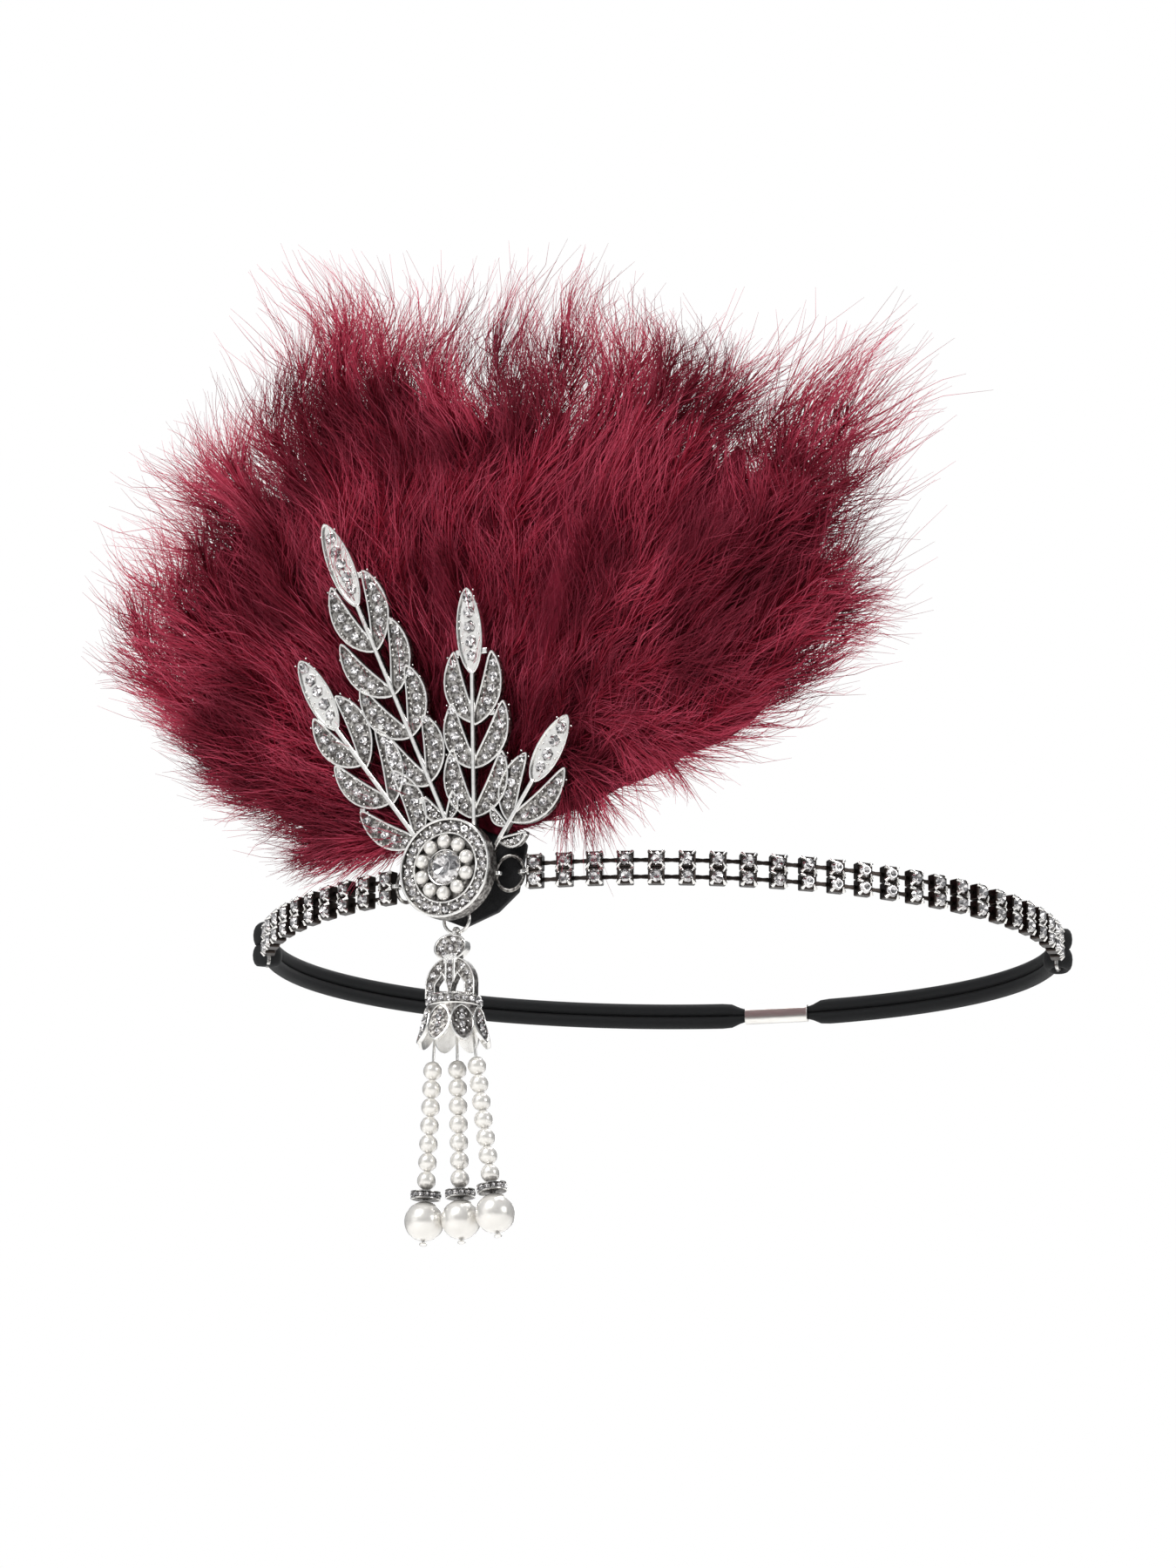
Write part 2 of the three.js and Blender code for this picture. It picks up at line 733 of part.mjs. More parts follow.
// Feather plume: locks that fan from a root behind the disc, fused into one body.
// Tips are shares of the plume's reach and rise; bow bends a lock sideways by a share of its length.
const plumeLocks = [
  { root: -6, across: -0.5, up: 0.16, bow: 0.1, width: 0.5 },
  { root: -6, across: -0.68, up: 0.29, bow: 0.12, width: 0.75 },
  { root: -5, across: -0.87, up: 0.47, bow: 0.14, width: 0.95 },
  { root: -5, across: -0.86, up: 0.62, bow: 0.08, width: 1 },
  { root: -4, across: -0.68, up: 0.74, bow: 0.06, width: 0.95 },
  { root: -3, across: -0.46, up: 0.87, bow: 0.02, width: 0.95 },
  { root: -2, across: -0.32, up: 1, bow: 0, width: 0.9 },
  { root: -1, across: -0.13, up: 0.93, bow: 0, width: 0.9 },
  { root: 0, across: 0.07, up: 0.93, bow: 0, width: 0.9 },
  { root: 2, across: 0.29, up: 0.89, bow: -0.02, width: 0.95 },
  { root: 3, across: 0.51, up: 0.85, bow: -0.04, width: 0.95 },
  { root: 4, across: 0.73, up: 0.8, bow: -0.06, width: 1 },
  { root: 5, across: 0.9, up: 0.67, bow: -0.08, width: 1 },
  { root: 6, across: 1, up: 0.5, bow: -0.1, width: 1 },
  { root: 6, across: 0.93, up: 0.33, bow: -0.12, width: 0.95 },
  { root: 7, across: 0.72, up: 0.21, bow: -0.12, width: 0.75 },
  { root: 7, across: 0.46, up: 0.13, bow: -0.1, width: 0.5 },
];

// How far the plume's front and back stand from the disc's plane, along a lock
const plumeFaces = [
  { reach: 0, front: 0.6, back: -1.4 },
  { reach: 0.1, front: 0.9, back: -1.5 },
  { reach: 0.17, front: 1.3, back: -2.6 },
  { reach: 0.32, front: 2.4, back: -8 },
  { reach: 0.55, front: 6, back: -11 },
  { reach: 0.8, front: 9, back: -9 },
  { reach: 1, front: 7, back: -5 },
];

const lockForm = [
  { along: 0, wide: 0.14, deep: 1 },
  { along: 0.15, wide: 0.36, deep: 1 },
  { along: 0.45, wide: 0.9, deep: 1 },
  { along: 0.75, wide: 0.95, deep: 0.85 },
  { along: 0.93, wide: 0.5, deep: 0.5 },
  { along: 1, wide: 0.06, deep: 0.08 },
];

function lockGeometry({ root, across, up, bow, width }) {
  const start = new THREE.Vector2(root, plumeRootHeight);
  const tip = new THREE.Vector2(across * plumeReach, up * plumeRise);
  const chord = new THREE.Vector2().subVectors(tip, start);
  const length = chord.length();
  const sideways = new THREE.Vector2(-chord.y, chord.x).multiplyScalar(bow);
  const middle = start.clone().addScaledVector(chord, 0.5).add(sideways);
  const path = new THREE.QuadraticBezierCurve(start, middle, tip);
  const rings = lockForm.map(({ along, wide, deep }) => {
    const centre = path.getPoint(along);
    const heading = path.getTangent(along);
    const reach = (along * length) / plumeRise;
    const front = fromTable(plumeFaces, "reach", reach, "front");
    const back = fromTable(plumeFaces, "reach", reach, "back");
    const halfWidth = (wide * width * lockWidth) / 2;
    const halfDepth = (deep * (front - back)) / 2;
    const ring = [];
    for (let turn = 0; turn < lockSides; turn += 1) {
      const angle = (turn / lockSides) * 2 * Math.PI;
      const offset = halfWidth * Math.cos(angle);
      const x = centre.x + heading.y * offset;
      const y = centre.y - heading.x * offset;
      const rise = (halfDepth * Math.sin(angle)) / Math.sin(Math.PI / 3);
      const wrap = Math.max(0, Math.abs(x) - plumeFlatHalf) ** 2 / (2 * plumeWrap);
      ring.push(new THREE.Vector3(x, y, (front + back) / 2 + rise - wrap));
    }
    return ring;
  });
  return loft(rings.map((ring) => ring.reverse()));
}

function plumeSolid() {
  const first = plumeFaces[0];
  const rootBlock = block(
    [-8, plumeRootHeight - 2, first.back],
    [9, plumeRootHeight + 2.5, first.front],
  );
  return joined([rootBlock, ...plumeLocks.map(lockGeometry)]);
}

// Drop: everything hangs from the ring's lowest wire, which is this group's origin

function archGeometry() {
  const shape = new THREE.Shape();
  const shoulder = archTop + archHalfWidth;
  shape.moveTo(-archHalfWidth, -archFoot);
  shape.lineTo(archHalfWidth, -archFoot);
  shape.lineTo(archHalfWidth, -shoulder);
  shape.absarc(0, -shoulder, archHalfWidth, 0, Math.PI, false);
  shape.lineTo(-archHalfWidth, -archFoot);
  [-1, 1].forEach((side) => {
    const near = (side * tongueWidth) / 2;
    const far = side * (archHalfWidth - archArm);
    const top = near + (far - near) * 0.4;
    const tip = near * 0.25;
    const gap = [[tip, -archFoot], [far, -archFoot], [far, -shoulder], [top, -windowTop], [near, -shoulder]];
    shape.holes.push(new THREE.Path(gap.map(([x, y]) => new THREE.Vector2(x, y + 0.4))));
  });
  const options = { depth: dropDepth, bevelEnabled: false, curveSegments: 8 };
  return new THREE.ExtrudeGeometry(shape, options).translate(0, 0, dropPlane);
}

const bellTop = archFoot + barHeight - 0.8;

function bellGeometry() {
  const inside = bellTopRadius - bellWall;
  const profile = [
    [0, -bellRoof],
    [inside, -bellRoof],
    [bellMouthRadius - bellWall, -bellHeight],
    [bellMouthRadius, -bellHeight],
    [bellTopRadius, 0],
    [0, 0],
  ];
  const points = profile.map(([radius, height]) => new THREE.Vector2(radius, height));
  const bell = new THREE.LatheGeometry(points, bellPetals * 2);
  const place = bell.attributes.position;
  for (let index = 0; index < place.count; index += 1) {
    const spoke = Math.floor(index / profile.length);
    if (place.getY(index) < -bellHeight / 2 && spoke % 2 === 1) {
      place.setY(index, place.getY(index) + petalNotch);
    }
  }
  return bell.translate(0, -bellTop, bellCentre);
}

function dropSolid() {
  const half = lugThickness / 2;
  const lug = block([-half, -lugHalf - 0.6, -lugHalf], [half, lugHalf, lugHalf]);
  const disc = new THREE.CylinderGeometry(dropDiscRadius, dropDiscRadius, dropDepth, 16);
  disc.rotateX(Math.PI / 2).translate(0, -dropDiscFall, dropPlane + dropDepth / 2);
  const neckTop = dropDiscFall + dropDiscRadius / 2;
  const neck = block(
    [-neckWidth / 2, -archTop - 1.5, dropPlane + 0.1],
    [neckWidth / 2, -neckTop, dropPlane + dropDepth - 0.1],
  );
  const foot = block(
    [-barHalfWidth, -archFoot - barHeight + 0.3, -1],
    [barHalfWidth, -archFoot + 0.5, dropPlane + dropDepth + 0.2],
  );
  const eye = new THREE.CylinderGeometry(lugHole, lugHole, 3, 10).rotateZ(Math.PI / 2);
  return cut(joined([lug, disc, neck, archGeometry(), foot, bellGeometry()]), [eye]);
}

// A pearl string in its own frame: it hangs down its own axis from the bell's roof
const pearlSteps = [0.2, 0.5, 0.8];

function beadProfile(centre, radius) {
  return pearlSteps.map((share) => {
    const angle = share * Math.PI;
    return [radius * Math.sin(angle), centre + radius * Math.cos(angle)];
  });
}

const lastSmall = stringLead + (smallPearls - 1) * smallPearlPitch;
const rondelleTop = lastSmall + smallPearlRadius + clearance;
const bigPearlCentre = rondelleTop + rondelleHeight + clearance + bigPearlRadius;
const stringEnd = bigPearlCentre + bigPearlRadius + clearance;

function stringGeometry() {
  const profile = [[0, 0], [stringEndRadius, -0.3], [stringEndRadius, -0.9], [stringWire, -1.3]];
  for (let index = 0; index < smallPearls; index += 1) {
    const centre = -stringLead - index * smallPearlPitch;
    profile.push([stringWire, centre + smallPearlRadius - 0.04]);
    profile.push(...beadProfile(centre, smallPearlRadius));
  }
  profile.push([stringWire, -lastSmall - smallPearlRadius + 0.04]);
  profile.push([stringWire, -stringEnd], [stringEndRadius, -stringEnd - 0.1]);
  profile.push([stringEndRadius, -stringEnd - 0.6], [0, -stringEnd - 0.8]);
  const points = profile.map(([radius, height]) => new THREE.Vector2(radius, height));
  return new THREE.LatheGeometry(points.reverse(), 10);
}

function rondelleGeometry() {
  const bore = stringWire + clearance;
  const low = -rondelleTop - rondelleHeight;
  const middle = low + rondelleHeight / 2;
  const face = rondelleRadius * 0.72;
  const profile = [
    [bore, low],
    [face, low],
    [rondelleRadius, middle - 0.3],
    [rondelleRadius, middle + 0.3],
    [face, -rondelleTop],
    [bore, -rondelleTop],
    [bore, low],
  ];
  const points = profile.map(([radius, height]) => new THREE.Vector2(radius, height));
  return new THREE.LatheGeometry(points, 12);
}

function bigPearlGeometry() {
  const bore = stringWire + clearance;
  const lip = Math.sqrt(bigPearlRadius ** 2 - bore ** 2);
  const points = [new THREE.Vector2(bore, -bigPearlCentre - lip)];
  const steps = 6;
  const open = Math.asin(bore / bigPearlRadius);
  for (let step = 1; step < steps; step += 1) {
    const angle = mix(open, Math.PI - open, step / steps);
    const radius = bigPearlRadius * Math.sin(angle);
    points.push(new THREE.Vector2(radius, -bigPearlCentre - bigPearlRadius * Math.cos(angle)));
  }
  points.push(new THREE.Vector2(bore, -bigPearlCentre + lip), points[0].clone());
  return new THREE.LatheGeometry(points, 12);
}

// Name, place across and forward of the bell's axis, and lean from the plumb line
const pearlStrings = [
  { name: "left", across: -4, forward: 0.6, lean: -2.6 },
  { name: "middle", across: 0.2, forward: -0.6, lean: 2.4 },
  { name: "right", across: 4.2, forward: 0.6, lean: 8.6 },
];

// Assembly

const headband = new THREE.Group();

piece("chain_left", chainSolid(-1, columnsLeft), stoneSilver, headband);
piece("chain_right", chainSolid(1, columnsRight), stoneSilver, headband);
piece("elastic_left", elasticSolid(-1, columnsLeft), elastic, headband);
piece("elastic_right", elasticSolid(1, columnsRight), elastic, headband);
piece("crimp", crimpGeometry(), gunmetal, headband);

const brooch = new THREE.Group();
brooch.applyMatrix4(broochFrame);
headband.add(brooch);

piece("medallion", medallionSolid(), silver, brooch);
piece("centre_crystal", crystalGeometry(), crystal, brooch);
const wellPearlHeight = discBack + discDepth - wellDrop + clearance + ringPearlRadius;
for (let index = 0; index < ringPearls; index += 1) {
  const name = "medallion_pearl_" + String(index + 1).padStart(2, "0");
  const angle = ((index + 0.5) / ringPearls) * 2 * Math.PI;
  const bead = piece(name, new THREE.SphereGeometry(ringPearlRadius, 10, 5), pearl, brooch);
  const across = pearlCircleRadius * Math.cos(angle);
  bead.position.set(across, pearlCircleRadius * Math.sin(angle), wellPearlHeight);
}
piece("backing_pad", feltGeometry(), felt, brooch);
piece("leaf_spray", spraySolid(), silver, brooch);
piece("feather_plume", plumeSolid(), feather, brooch);
piece("side_ring_left", sideRing(-1), silver, brooch);
piece("side_ring_right", sideRing(1), silver, brooch);

const dropRing = new THREE.TorusGeometry(ringRadius, ringWire, 5, 16);
const dropRingMesh = piece("drop_ring", dropRing, silver, brooch);
dropRingMesh.position.set(0, -dropRingHang - ringRadius, ringPlane);

const drop = new THREE.Group();
drop.position.set(0, -dropRingHang - 2 * ringRadius, ringPlane);
brooch.add(drop);
piece("drop_casting", dropSolid(), silver, drop);
pearlStrings.forEach(({ name, across, forward, lean }) => {
  const string = new THREE.Group();
  string.position.set(across, -bellTop - bellRoof - clearance, bellCentre + forward);
  string.rotation.z = THREE.MathUtils.degToRad(lean);
  drop.add(string);
  piece("pearl_string_" + name, stringGeometry(), pearl, string);
  piece("rondelle_" + name, rondelleGeometry(), stoneSilver, string);
  piece("drop_pearl_" + name, bigPearlGeometry(), pearl, string);
});

export default headband;
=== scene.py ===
import math

import bmesh
import bpy
import numpy as np
from mathutils import Matrix, Vector


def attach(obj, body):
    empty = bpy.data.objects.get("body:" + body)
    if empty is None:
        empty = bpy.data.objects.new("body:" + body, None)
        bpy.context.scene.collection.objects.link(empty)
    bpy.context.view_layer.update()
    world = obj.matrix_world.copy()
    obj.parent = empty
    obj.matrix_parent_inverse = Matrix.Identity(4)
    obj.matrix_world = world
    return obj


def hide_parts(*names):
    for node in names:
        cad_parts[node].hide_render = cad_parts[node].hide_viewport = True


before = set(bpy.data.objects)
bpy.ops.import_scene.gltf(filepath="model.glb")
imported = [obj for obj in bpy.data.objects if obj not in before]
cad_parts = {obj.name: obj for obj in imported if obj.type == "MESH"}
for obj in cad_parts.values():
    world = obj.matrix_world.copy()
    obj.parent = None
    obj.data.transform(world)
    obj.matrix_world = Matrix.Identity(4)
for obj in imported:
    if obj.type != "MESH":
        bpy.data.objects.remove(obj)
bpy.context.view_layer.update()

# Looks of a flapper headband. Shapes are modelled in millimetres, in the band's or the brooch's
# own frame, and put in the row frame, in metres, when they are finished.
MM = 0.001

# Band loop
LOOP_HALF_WIDTH = 88
LOOP_FRONT_DEPTH = 80
LOOP_BACK_DEPTH = 70

# Two-row cup chain
CUP_SIZE = 3.6
CUP_DEPTH = 2.4
ROW_PITCH = 3.6
COLUMN_PITCH = 6.45
COLUMNS = {1: 24, -1: 10}
FIRST_COLUMN_REACH = 18
STONE_RADIUS = 1.62

# Brooch place: its angle round the loop, its lift above the band and its set-back
BROOCH_ANGLE = math.radians(-29.6)
BROOCH_LIFT = 1.2
BROOCH_SETBACK = 1.2

# Plume
PLUME_RISE = 140
PLUME_WRAP = 260
PLUME_FLAT_HALF = 18


# Places

def band_point(angle):
    depth = LOOP_FRONT_DEPTH if math.cos(angle) > 0 else LOOP_BACK_DEPTH
    return Vector((LOOP_HALF_WIDTH * math.sin(angle), -depth * math.cos(angle), 0))


def band_tangent(angle):
    depth = LOOP_FRONT_DEPTH if math.cos(angle) > 0 else LOOP_BACK_DEPTH
    return Vector((LOOP_HALF_WIDTH * math.cos(angle), depth * math.sin(angle), 0))


def band_along(angle, distance):
    """The angle reached by walking a distance round the loop"""
    steps = math.ceil(abs(distance)) * 2
    if steps == 0:
        return angle
    step = distance / steps
    for _ in range(steps):
        half = angle + step / 2 / band_tangent(angle).length
        angle += step / band_tangent(half).length
    return angle


def basis(along, up, out, place):
    """A frame from its three axes and its origin"""
    made = Matrix((along, up, out)).transposed().to_4x4()
    made.translation = place
    return made


def band_frame(angle):
    """X along the band, Y up, Z away from the head"""
    along = band_tangent(angle).normalized()
    up = Vector((0, 0, 1))
    return basis(along, up, along.cross(up), band_point(angle))


def column_angle(side, index):
    return band_along(BROOCH_ANGLE, side * (FIRST_COLUMN_REACH + index * COLUMN_PITCH))


# The frames that pieces are modelled in, and the turn that lays a spun piece's axis along Y
BROOCH = band_frame(BROOCH_ANGLE) @ Matrix.Translation((0, BROOCH_LIFT, -BROOCH_SETBACK))
BAND = Matrix.Identity(4)
UPRIGHT = Matrix.Rotation(-math.pi / 2, 4, "X")


# Pieces

def settle(piece, name, place, body, slot, *nodes):
    """Puts a finished piece in the row frame and ties it to its body and nodes; its slot is not
    used
    """
    piece.data.transform(Matrix.Scale(MM, 4) @ place @ piece.matrix_basis)
    piece.matrix_basis = Matrix.Identity(4)
    piece.name = name
    piece.data.name = name
    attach(piece, body)
    if nodes:
        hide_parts(*nodes)
    return piece


def mesh_object(name, points, faces, edges=()):
    mesh = bpy.data.meshes.new(name)
    mesh.from_pydata(points, edges, faces)
    made = bpy.data.objects.new(name, mesh)
    bpy.context.scene.collection.objects.link(made)
    return made


# Modelling by hand tools

def start(primitive, **settings):
    """Adds a primitive with nothing else selected, and applies its size"""
    bpy.ops.object.select_all(action="DESELECT")
    primitive(**settings)
    bpy.ops.object.transform_apply(location=True, rotation=True, scale=True)
    return bpy.context.object


def block(scale, location=(0, 0, 0)):
    return start(bpy.ops.mesh.primitive_cube_add, size=1, location=location, scale=scale)


def choose(*pieces):
    """Selects these pieces alone, the first of them active"""
    bpy.ops.object.select_all(action="DESELECT")
    for piece in pieces:
        piece.select_set(True)
    bpy.context.view_layer.objects.active = pieces[0]


def pick(piece, wanted):
    """Opens a piece in edit mode with only the faces that pass a test selected"""
    bpy.ops.object.mode_set(mode="EDIT")
    bpy.ops.mesh.select_mode(type="FACE")
    bpy.ops.mesh.select_all(action="DESELECT")
    mesh = bmesh.from_edit_mesh(piece.data)
    for face in mesh.faces:
        if wanted(face):
            face.select_set(True)
    bmesh.update_edit_mesh(piece.data)


def lift(distance):
    """Extrudes what is selected along Z"""
    move = {"value": (0, 0, distance)}
    bpy.ops.mesh.extrude_region_move(TRANSFORM_OT_translate=move)


def outward():
    """Turns every face of the open piece outwards"""
    bpy.ops.mesh.select_all(action="SELECT")
    bpy.ops.mesh.normals_make_consistent(inside=False)


def done():
    bpy.ops.object.mode_set(mode="OBJECT")


def one_piece(pieces):
    """Joins pieces into the first of them"""
    choose(*pieces)
    bpy.ops.object.join()
    return bpy.context.object


def bevelled(piece, width, segments=2, angle=40):
    """Rounds a piece's sharp edges"""
    bpy.context.view_layer.objects.active = piece
    bevel = piece.modifiers.new("edge", "BEVEL")
    bevel.width = width
    bevel.segments = segments
    bevel.angle_limit = math.radians(angle)
    bpy.ops.object.modifier_apply(modifier=bevel.name)
    return piece


def smooth(piece, angle=40):
    choose(piece)
    bpy.ops.object.shade_smooth_by_angle(angle=math.radians(angle))
    return piece


def painted(piece, *looks):
    """Gives a piece its materials; a later one goes to the faces that its test passes"""
    piece.data.materials.append(looks[0])
    for look, wanted in looks[1:]:
        piece.data.materials.append(look)
        index = len(piece.data.materials) - 1
        for face in piece.data.polygons:
            if wanted(face):
                face.material_index = index
    return piece


def turned(name, profile, segments):
    """Radius and height pairs, spun about Z into a closed shape"""
    points = [(radius, 0, height) for radius, height in profile]
    made = mesh_object(name, points, [], [(place, place + 1) for place in range(len(points) - 1)])
    choose(made)
    bpy.ops.object.mode_set(mode="EDIT")
    bpy.ops.mesh.select_all(action="SELECT")
    bpy.ops.mesh.spin(steps=segments, angle=2 * math.pi, center=(0, 0, 0), axis=(0, 0, 1))
    bpy.ops.mesh.select_all(action="SELECT")
    bpy.ops.mesh.remove_doubles(threshold=0.002)
    outward()
    done()
    return made


def repeated(name, template, places):
    """One mesh of a template's copies, with its materials and shading"""
    source = template.data
    points = np.array([tuple(v.co) + (1,) for v in source.vertices])
    faces = [tuple(face.vertices) for face in source.polygons]
    laid = [(points @ np.array(place).T)[:, :3] for place in places]
    count = len(points)
    corners = [
        tuple(corner + copy * count for corner in face)
        for copy in range(len(places)) for face in faces
    ]
    made = mesh_object(name, np.concatenate(laid), corners)
    for look in source.materials:
        made.data.materials.append(look)
    for key in ("material_index", "use_smooth"):
        values = [getattr(face, key) for face in source.polygons] * len(places)
        made.data.polygons.foreach_set(key, values)
    return made


def drop_templates(*templates):
    for template in templates:
        bpy.data.objects.remove(template)


def at(x, y, z, size=1.0, turn=0.0):
    """A place in a plate's frame, with a size and a turn about Z"""
    return Matrix.Translation((x, y, z)) @ Matrix.Rotation(turn, 4, "Z") @ Matrix.Scale(size, 4)


def on_circle(radius, turn):
    return radius * math.cos(turn), radius * math.sin(turn)


def set_by_hand(rng, place, size, height, sway):
    """A stone's seat, with the turn and the slight tip that setting by hand leaves"""
    turn = rng.uniform(0, 3)
    return place @ at(0, 0, height, size, turn) @ Matrix.Rotation(rng.normal(0, sway), 4, "X")


# Stones and beads

def cut_stone(name, radius, rise, sides, look):
    """A brilliant seen from its table: kite facets round a table that shows its pavilion"""
    stone = start(
        bpy.ops.mesh.primitive_cone_add, vertices=sides, radius1=radius, radius2=radius * 0.58,
        depth=rise, location=(0, 0, rise / 2),
    )
    stone.name = name
    pick(stone, lambda face: abs(face.normal.z) < 0.95)
    bpy.ops.mesh.poke(offset=radius * 0.05)
    pick(stone, lambda face: face.normal.z > 0.95)
    bpy.ops.mesh.inset(thickness=radius * 0.1)
    bpy.ops.mesh.poke(offset=-radius * 0.3)
    done()
    return painted(stone, look)


def small_bead(name, radius, look):
    bead = start(bpy.ops.mesh.primitive_ico_sphere_add, subdivisions=2, radius=radius)
    bead.name = name
    for corner in bead.data.vertices:
        corner.co.z = max(corner.co.z, -radius * 0.6)
    return painted(smooth(bead, 60), look)


def drilled_pearl(name, radius, bore, look):
    """A moulded pearl whose two poles sink into its thread hole"""
    pearl = start(
        bpy.ops.mesh.primitive_uv_sphere_add, segments=24, ring_count=16, radius=radius
    )
    pearl.name = name
    for end in (1, -1):
        pole = radius * 0.97
        pick(pearl, lambda face: end * face.calc_center_median().z > pole)
        bpy.ops.mesh.inset(thickness=radius * 0.06)
        shrink = bore / (radius * 0.14)
        bpy.ops.transform.resize(value=(shrink, shrink, 1), center_override=(0, 0, 0))
        lift(-end * radius * 0.2)
        done()
    return painted(smooth(pearl, 50), look)


# Materials

def linear(colour):
    """An sRGB hex colour as the linear RGBA that Blender's sockets take"""
    shares = [int(colour[place:place + 2], 16) / 255 for place in (1, 3, 5)]
    return *(s / 12.92 if s <= 0.04045 else ((s + 0.055) / 1.055) ** 2.4 for s in shares), 1


def add(tree, kind, inputs, **settings):
    """Adds a node with its settings, and sets or links its inputs"""
    made = tree.nodes.new("ShaderNode" + kind)
    for name, value in settings.items():
        setattr(made, name, value)
    for socket, value in inputs.items():
        if isinstance(value, bpy.types.NodeSocket):
            tree.links.new(value, made.inputs[socket])
        else:
            made.inputs[socket].default_value = value
    return made


def new_material(name, **values):
    """A material and its tree, with these values on its Principled shader"""
    made = bpy.data.materials.new(name)
    made.use_nodes = True
    shader = made.node_tree.nodes["Principled BSDF"]
    for socket, value in values.items():
        shader.inputs[socket.replace("_", " ")].default_value = value
    return made, made.node_tree, shader


def mottled(name, dark, light, pattern, **values):
    """A material whose colour drifts between two tones, in a noise laid over the piece"""
    made, tree, shader = new_material(name, **values)
    place = add(tree, "TexCoord", {})
    noise = add(tree, "TexNoise", {"Vector": place.outputs["Object"], **pattern})
    tone = add(
        tree, "Mix", {0: noise.outputs["Fac"], 6: linear(dark), 7: linear(light)},
        data_type="RGBA",
    )
    tree.links.new(tone.outputs[2], shader.inputs["Base Color"])
    return made, tree, shader, noise.outputs["Fac"]


def marabou_dye_and_shade():
    """Marabou down dyed burgundy, with painted shade: darker toward the quill and in large patches,
    pinker toward the tips
    """
    made, tree, shader = new_material(
        "marabou_dye_and_shade", Roughness=0.8, Specular_IOR_Level=0.08,
    )
    along = add(tree, "Attribute", {}, attribute_name="along")
    tint = add(tree, "Attribute", {}, attribute_name="tint")
    place = add(tree, "TexCoord", {})
    # Painted shade: patches about 25 mm across are darkened, where the valleys between the plume's
    # lobes would lie in shade
    patch = add(tree, "TexNoise", {"Vector": place.outputs["Object"], "Scale": 40, "Detail": 3})
    depth = add(
        tree, "MapRange",
        {"Value": patch.outputs["Fac"], "From Min": 0.4, "From Max": 0.56, "To Min": 0.3},
    )
    # Painted shade along each barb, from dark at the quill, deep in the down, to pinker tips
    length = add(
        tree, "Mix", {0: along.outputs["Fac"], 6: linear("#7a0f20"), 7: linear("#dc6079")},
        data_type="RGBA",
    )
    strand = add(
        tree, "Mix", {0: tint.outputs["Fac"], 6: length.outputs[2], 7: linear("#951c34")},
        data_type="RGBA",
    )
    dye_with_shade = add(
        tree, "Mix", {0: depth.outputs[0], 6: linear("#4c0916"), 7: strand.outputs[2]},
        data_type="RGBA",
    )
    tree.links.new(dye_with_shade.outputs[2], shader.inputs["Base Color"])
    return made


def dense_down():
    """The plume's short inner down: darker, because little light gets in between the barbs"""
    made, tree, shader, tuft = mottled(
        "dense_down", "#3d0813", "#7a1c30", {"Scale": 300, "Detail": 5},
        Roughness=0.95, Specular_IOR_Level=0.1,
    )
    nap = add(tree, "Bump", {"Height": tuft, "Strength": 0.8, "Distance": 0.002})
    tree.links.new(nap.outputs[0], shader.inputs["Normal"])
    return made


def silver_plate():
    """Silver-plated cast alloy, tumbled: bright with soft patches of wear on its rims"""
    made, tree, shader, patch = mottled(
        "silver_plate", "#cfcdc9", "#fbfaf8", {"Scale": 900, "Detail": 4},
        Metallic=1, Roughness=0.22,
    )
    gloss = add(tree, "MapRange", {"Value": patch, "To Min": 0.12, "To Max": 0.34})
    tree.links.new(gloss.outputs[0], shader.inputs["Roughness"])
    return made


def oxide_and_painted_shade():
    """The same plate blackened: dark, half dull, with a brighter fleck. In hollows its dark is
    deepened as painted shade; on side walls, backs, undersides and the cone under the petals it is
    painted shade
    """
    made, tree, shader = new_material("oxide_and_painted_shade", Metallic=1, Roughness=0.4)
    place = add(tree, "TexCoord", {})
    fleck = add(tree, "TexNoise", {"Vector": place.outputs["Object"], "Scale": 1400, "Detail": 3})
    share = add(
        tree, "MapRange", {"Value": fleck.outputs["Fac"], "From Min": 0.42, "From Max": 0.75}
    )
    tone = add(
        tree, "Mix", {0: share.outputs[0], 6: linear("#4d4947"), 7: linear("#c9c6c1")},
        data_type="RGBA",
    )
    tree.links.new(tone.outputs[2], shader.inputs["Base Color"])
    return made


def foiled_glass():
    """Cut lead glass on a mirror foil: each facet throws back its own patch of the room"""
    made, tree, shader = new_material(
        "foiled_glass", Metallic=0.92, Roughness=0.04, Coat_Weight=1.0, Coat_Roughness=0.02,
    )
    place = add(tree, "TexCoord", {})
    # Painted reflection: light and dark cells about half a millimetre wide stand for the pavilion's
    # facets reflecting through the crown
    reflection_cell = add(tree, "TexVoronoi", {"Vector": place.outputs["Object"], "Scale": 1900})
    tone = add(
        tree, "Mix", {0: reflection_cell.outputs["Color"], 6: linear("#5a5759"), 7: linear("#f6f4f4")},
        data_type="RGBA",
    )
    tree.links.new(tone.outputs[2], shader.inputs["Base Color"])
    return made


def gunmetal_and_painted_shade():
    """Blackened brass strip that ties the cups: dark with a thin shine along its edges. The cup
    bodies and the crimp tube's inner floors take it as painted shade
    """
    return mottled(
        "gunmetal_and_painted_shade", "#1b1817", "#4a423e", {"Scale": 700}, Metallic=1, Roughness=0.35,
    )[0]


def pearl_coat():
    """Imitation pearl, dipped in essence: cream with a soft deep lustre under a clear coat"""
    return mottled(
        "pearl_coat", "#dedbd5", "#e9e6e1", {"Scale": 260, "Detail": 2},
        Metallic=0.48, Roughness=0.3, Coat_Weight=1.0, Coat_Roughness=0.06, Coat_IOR=1.7,
    )[0]


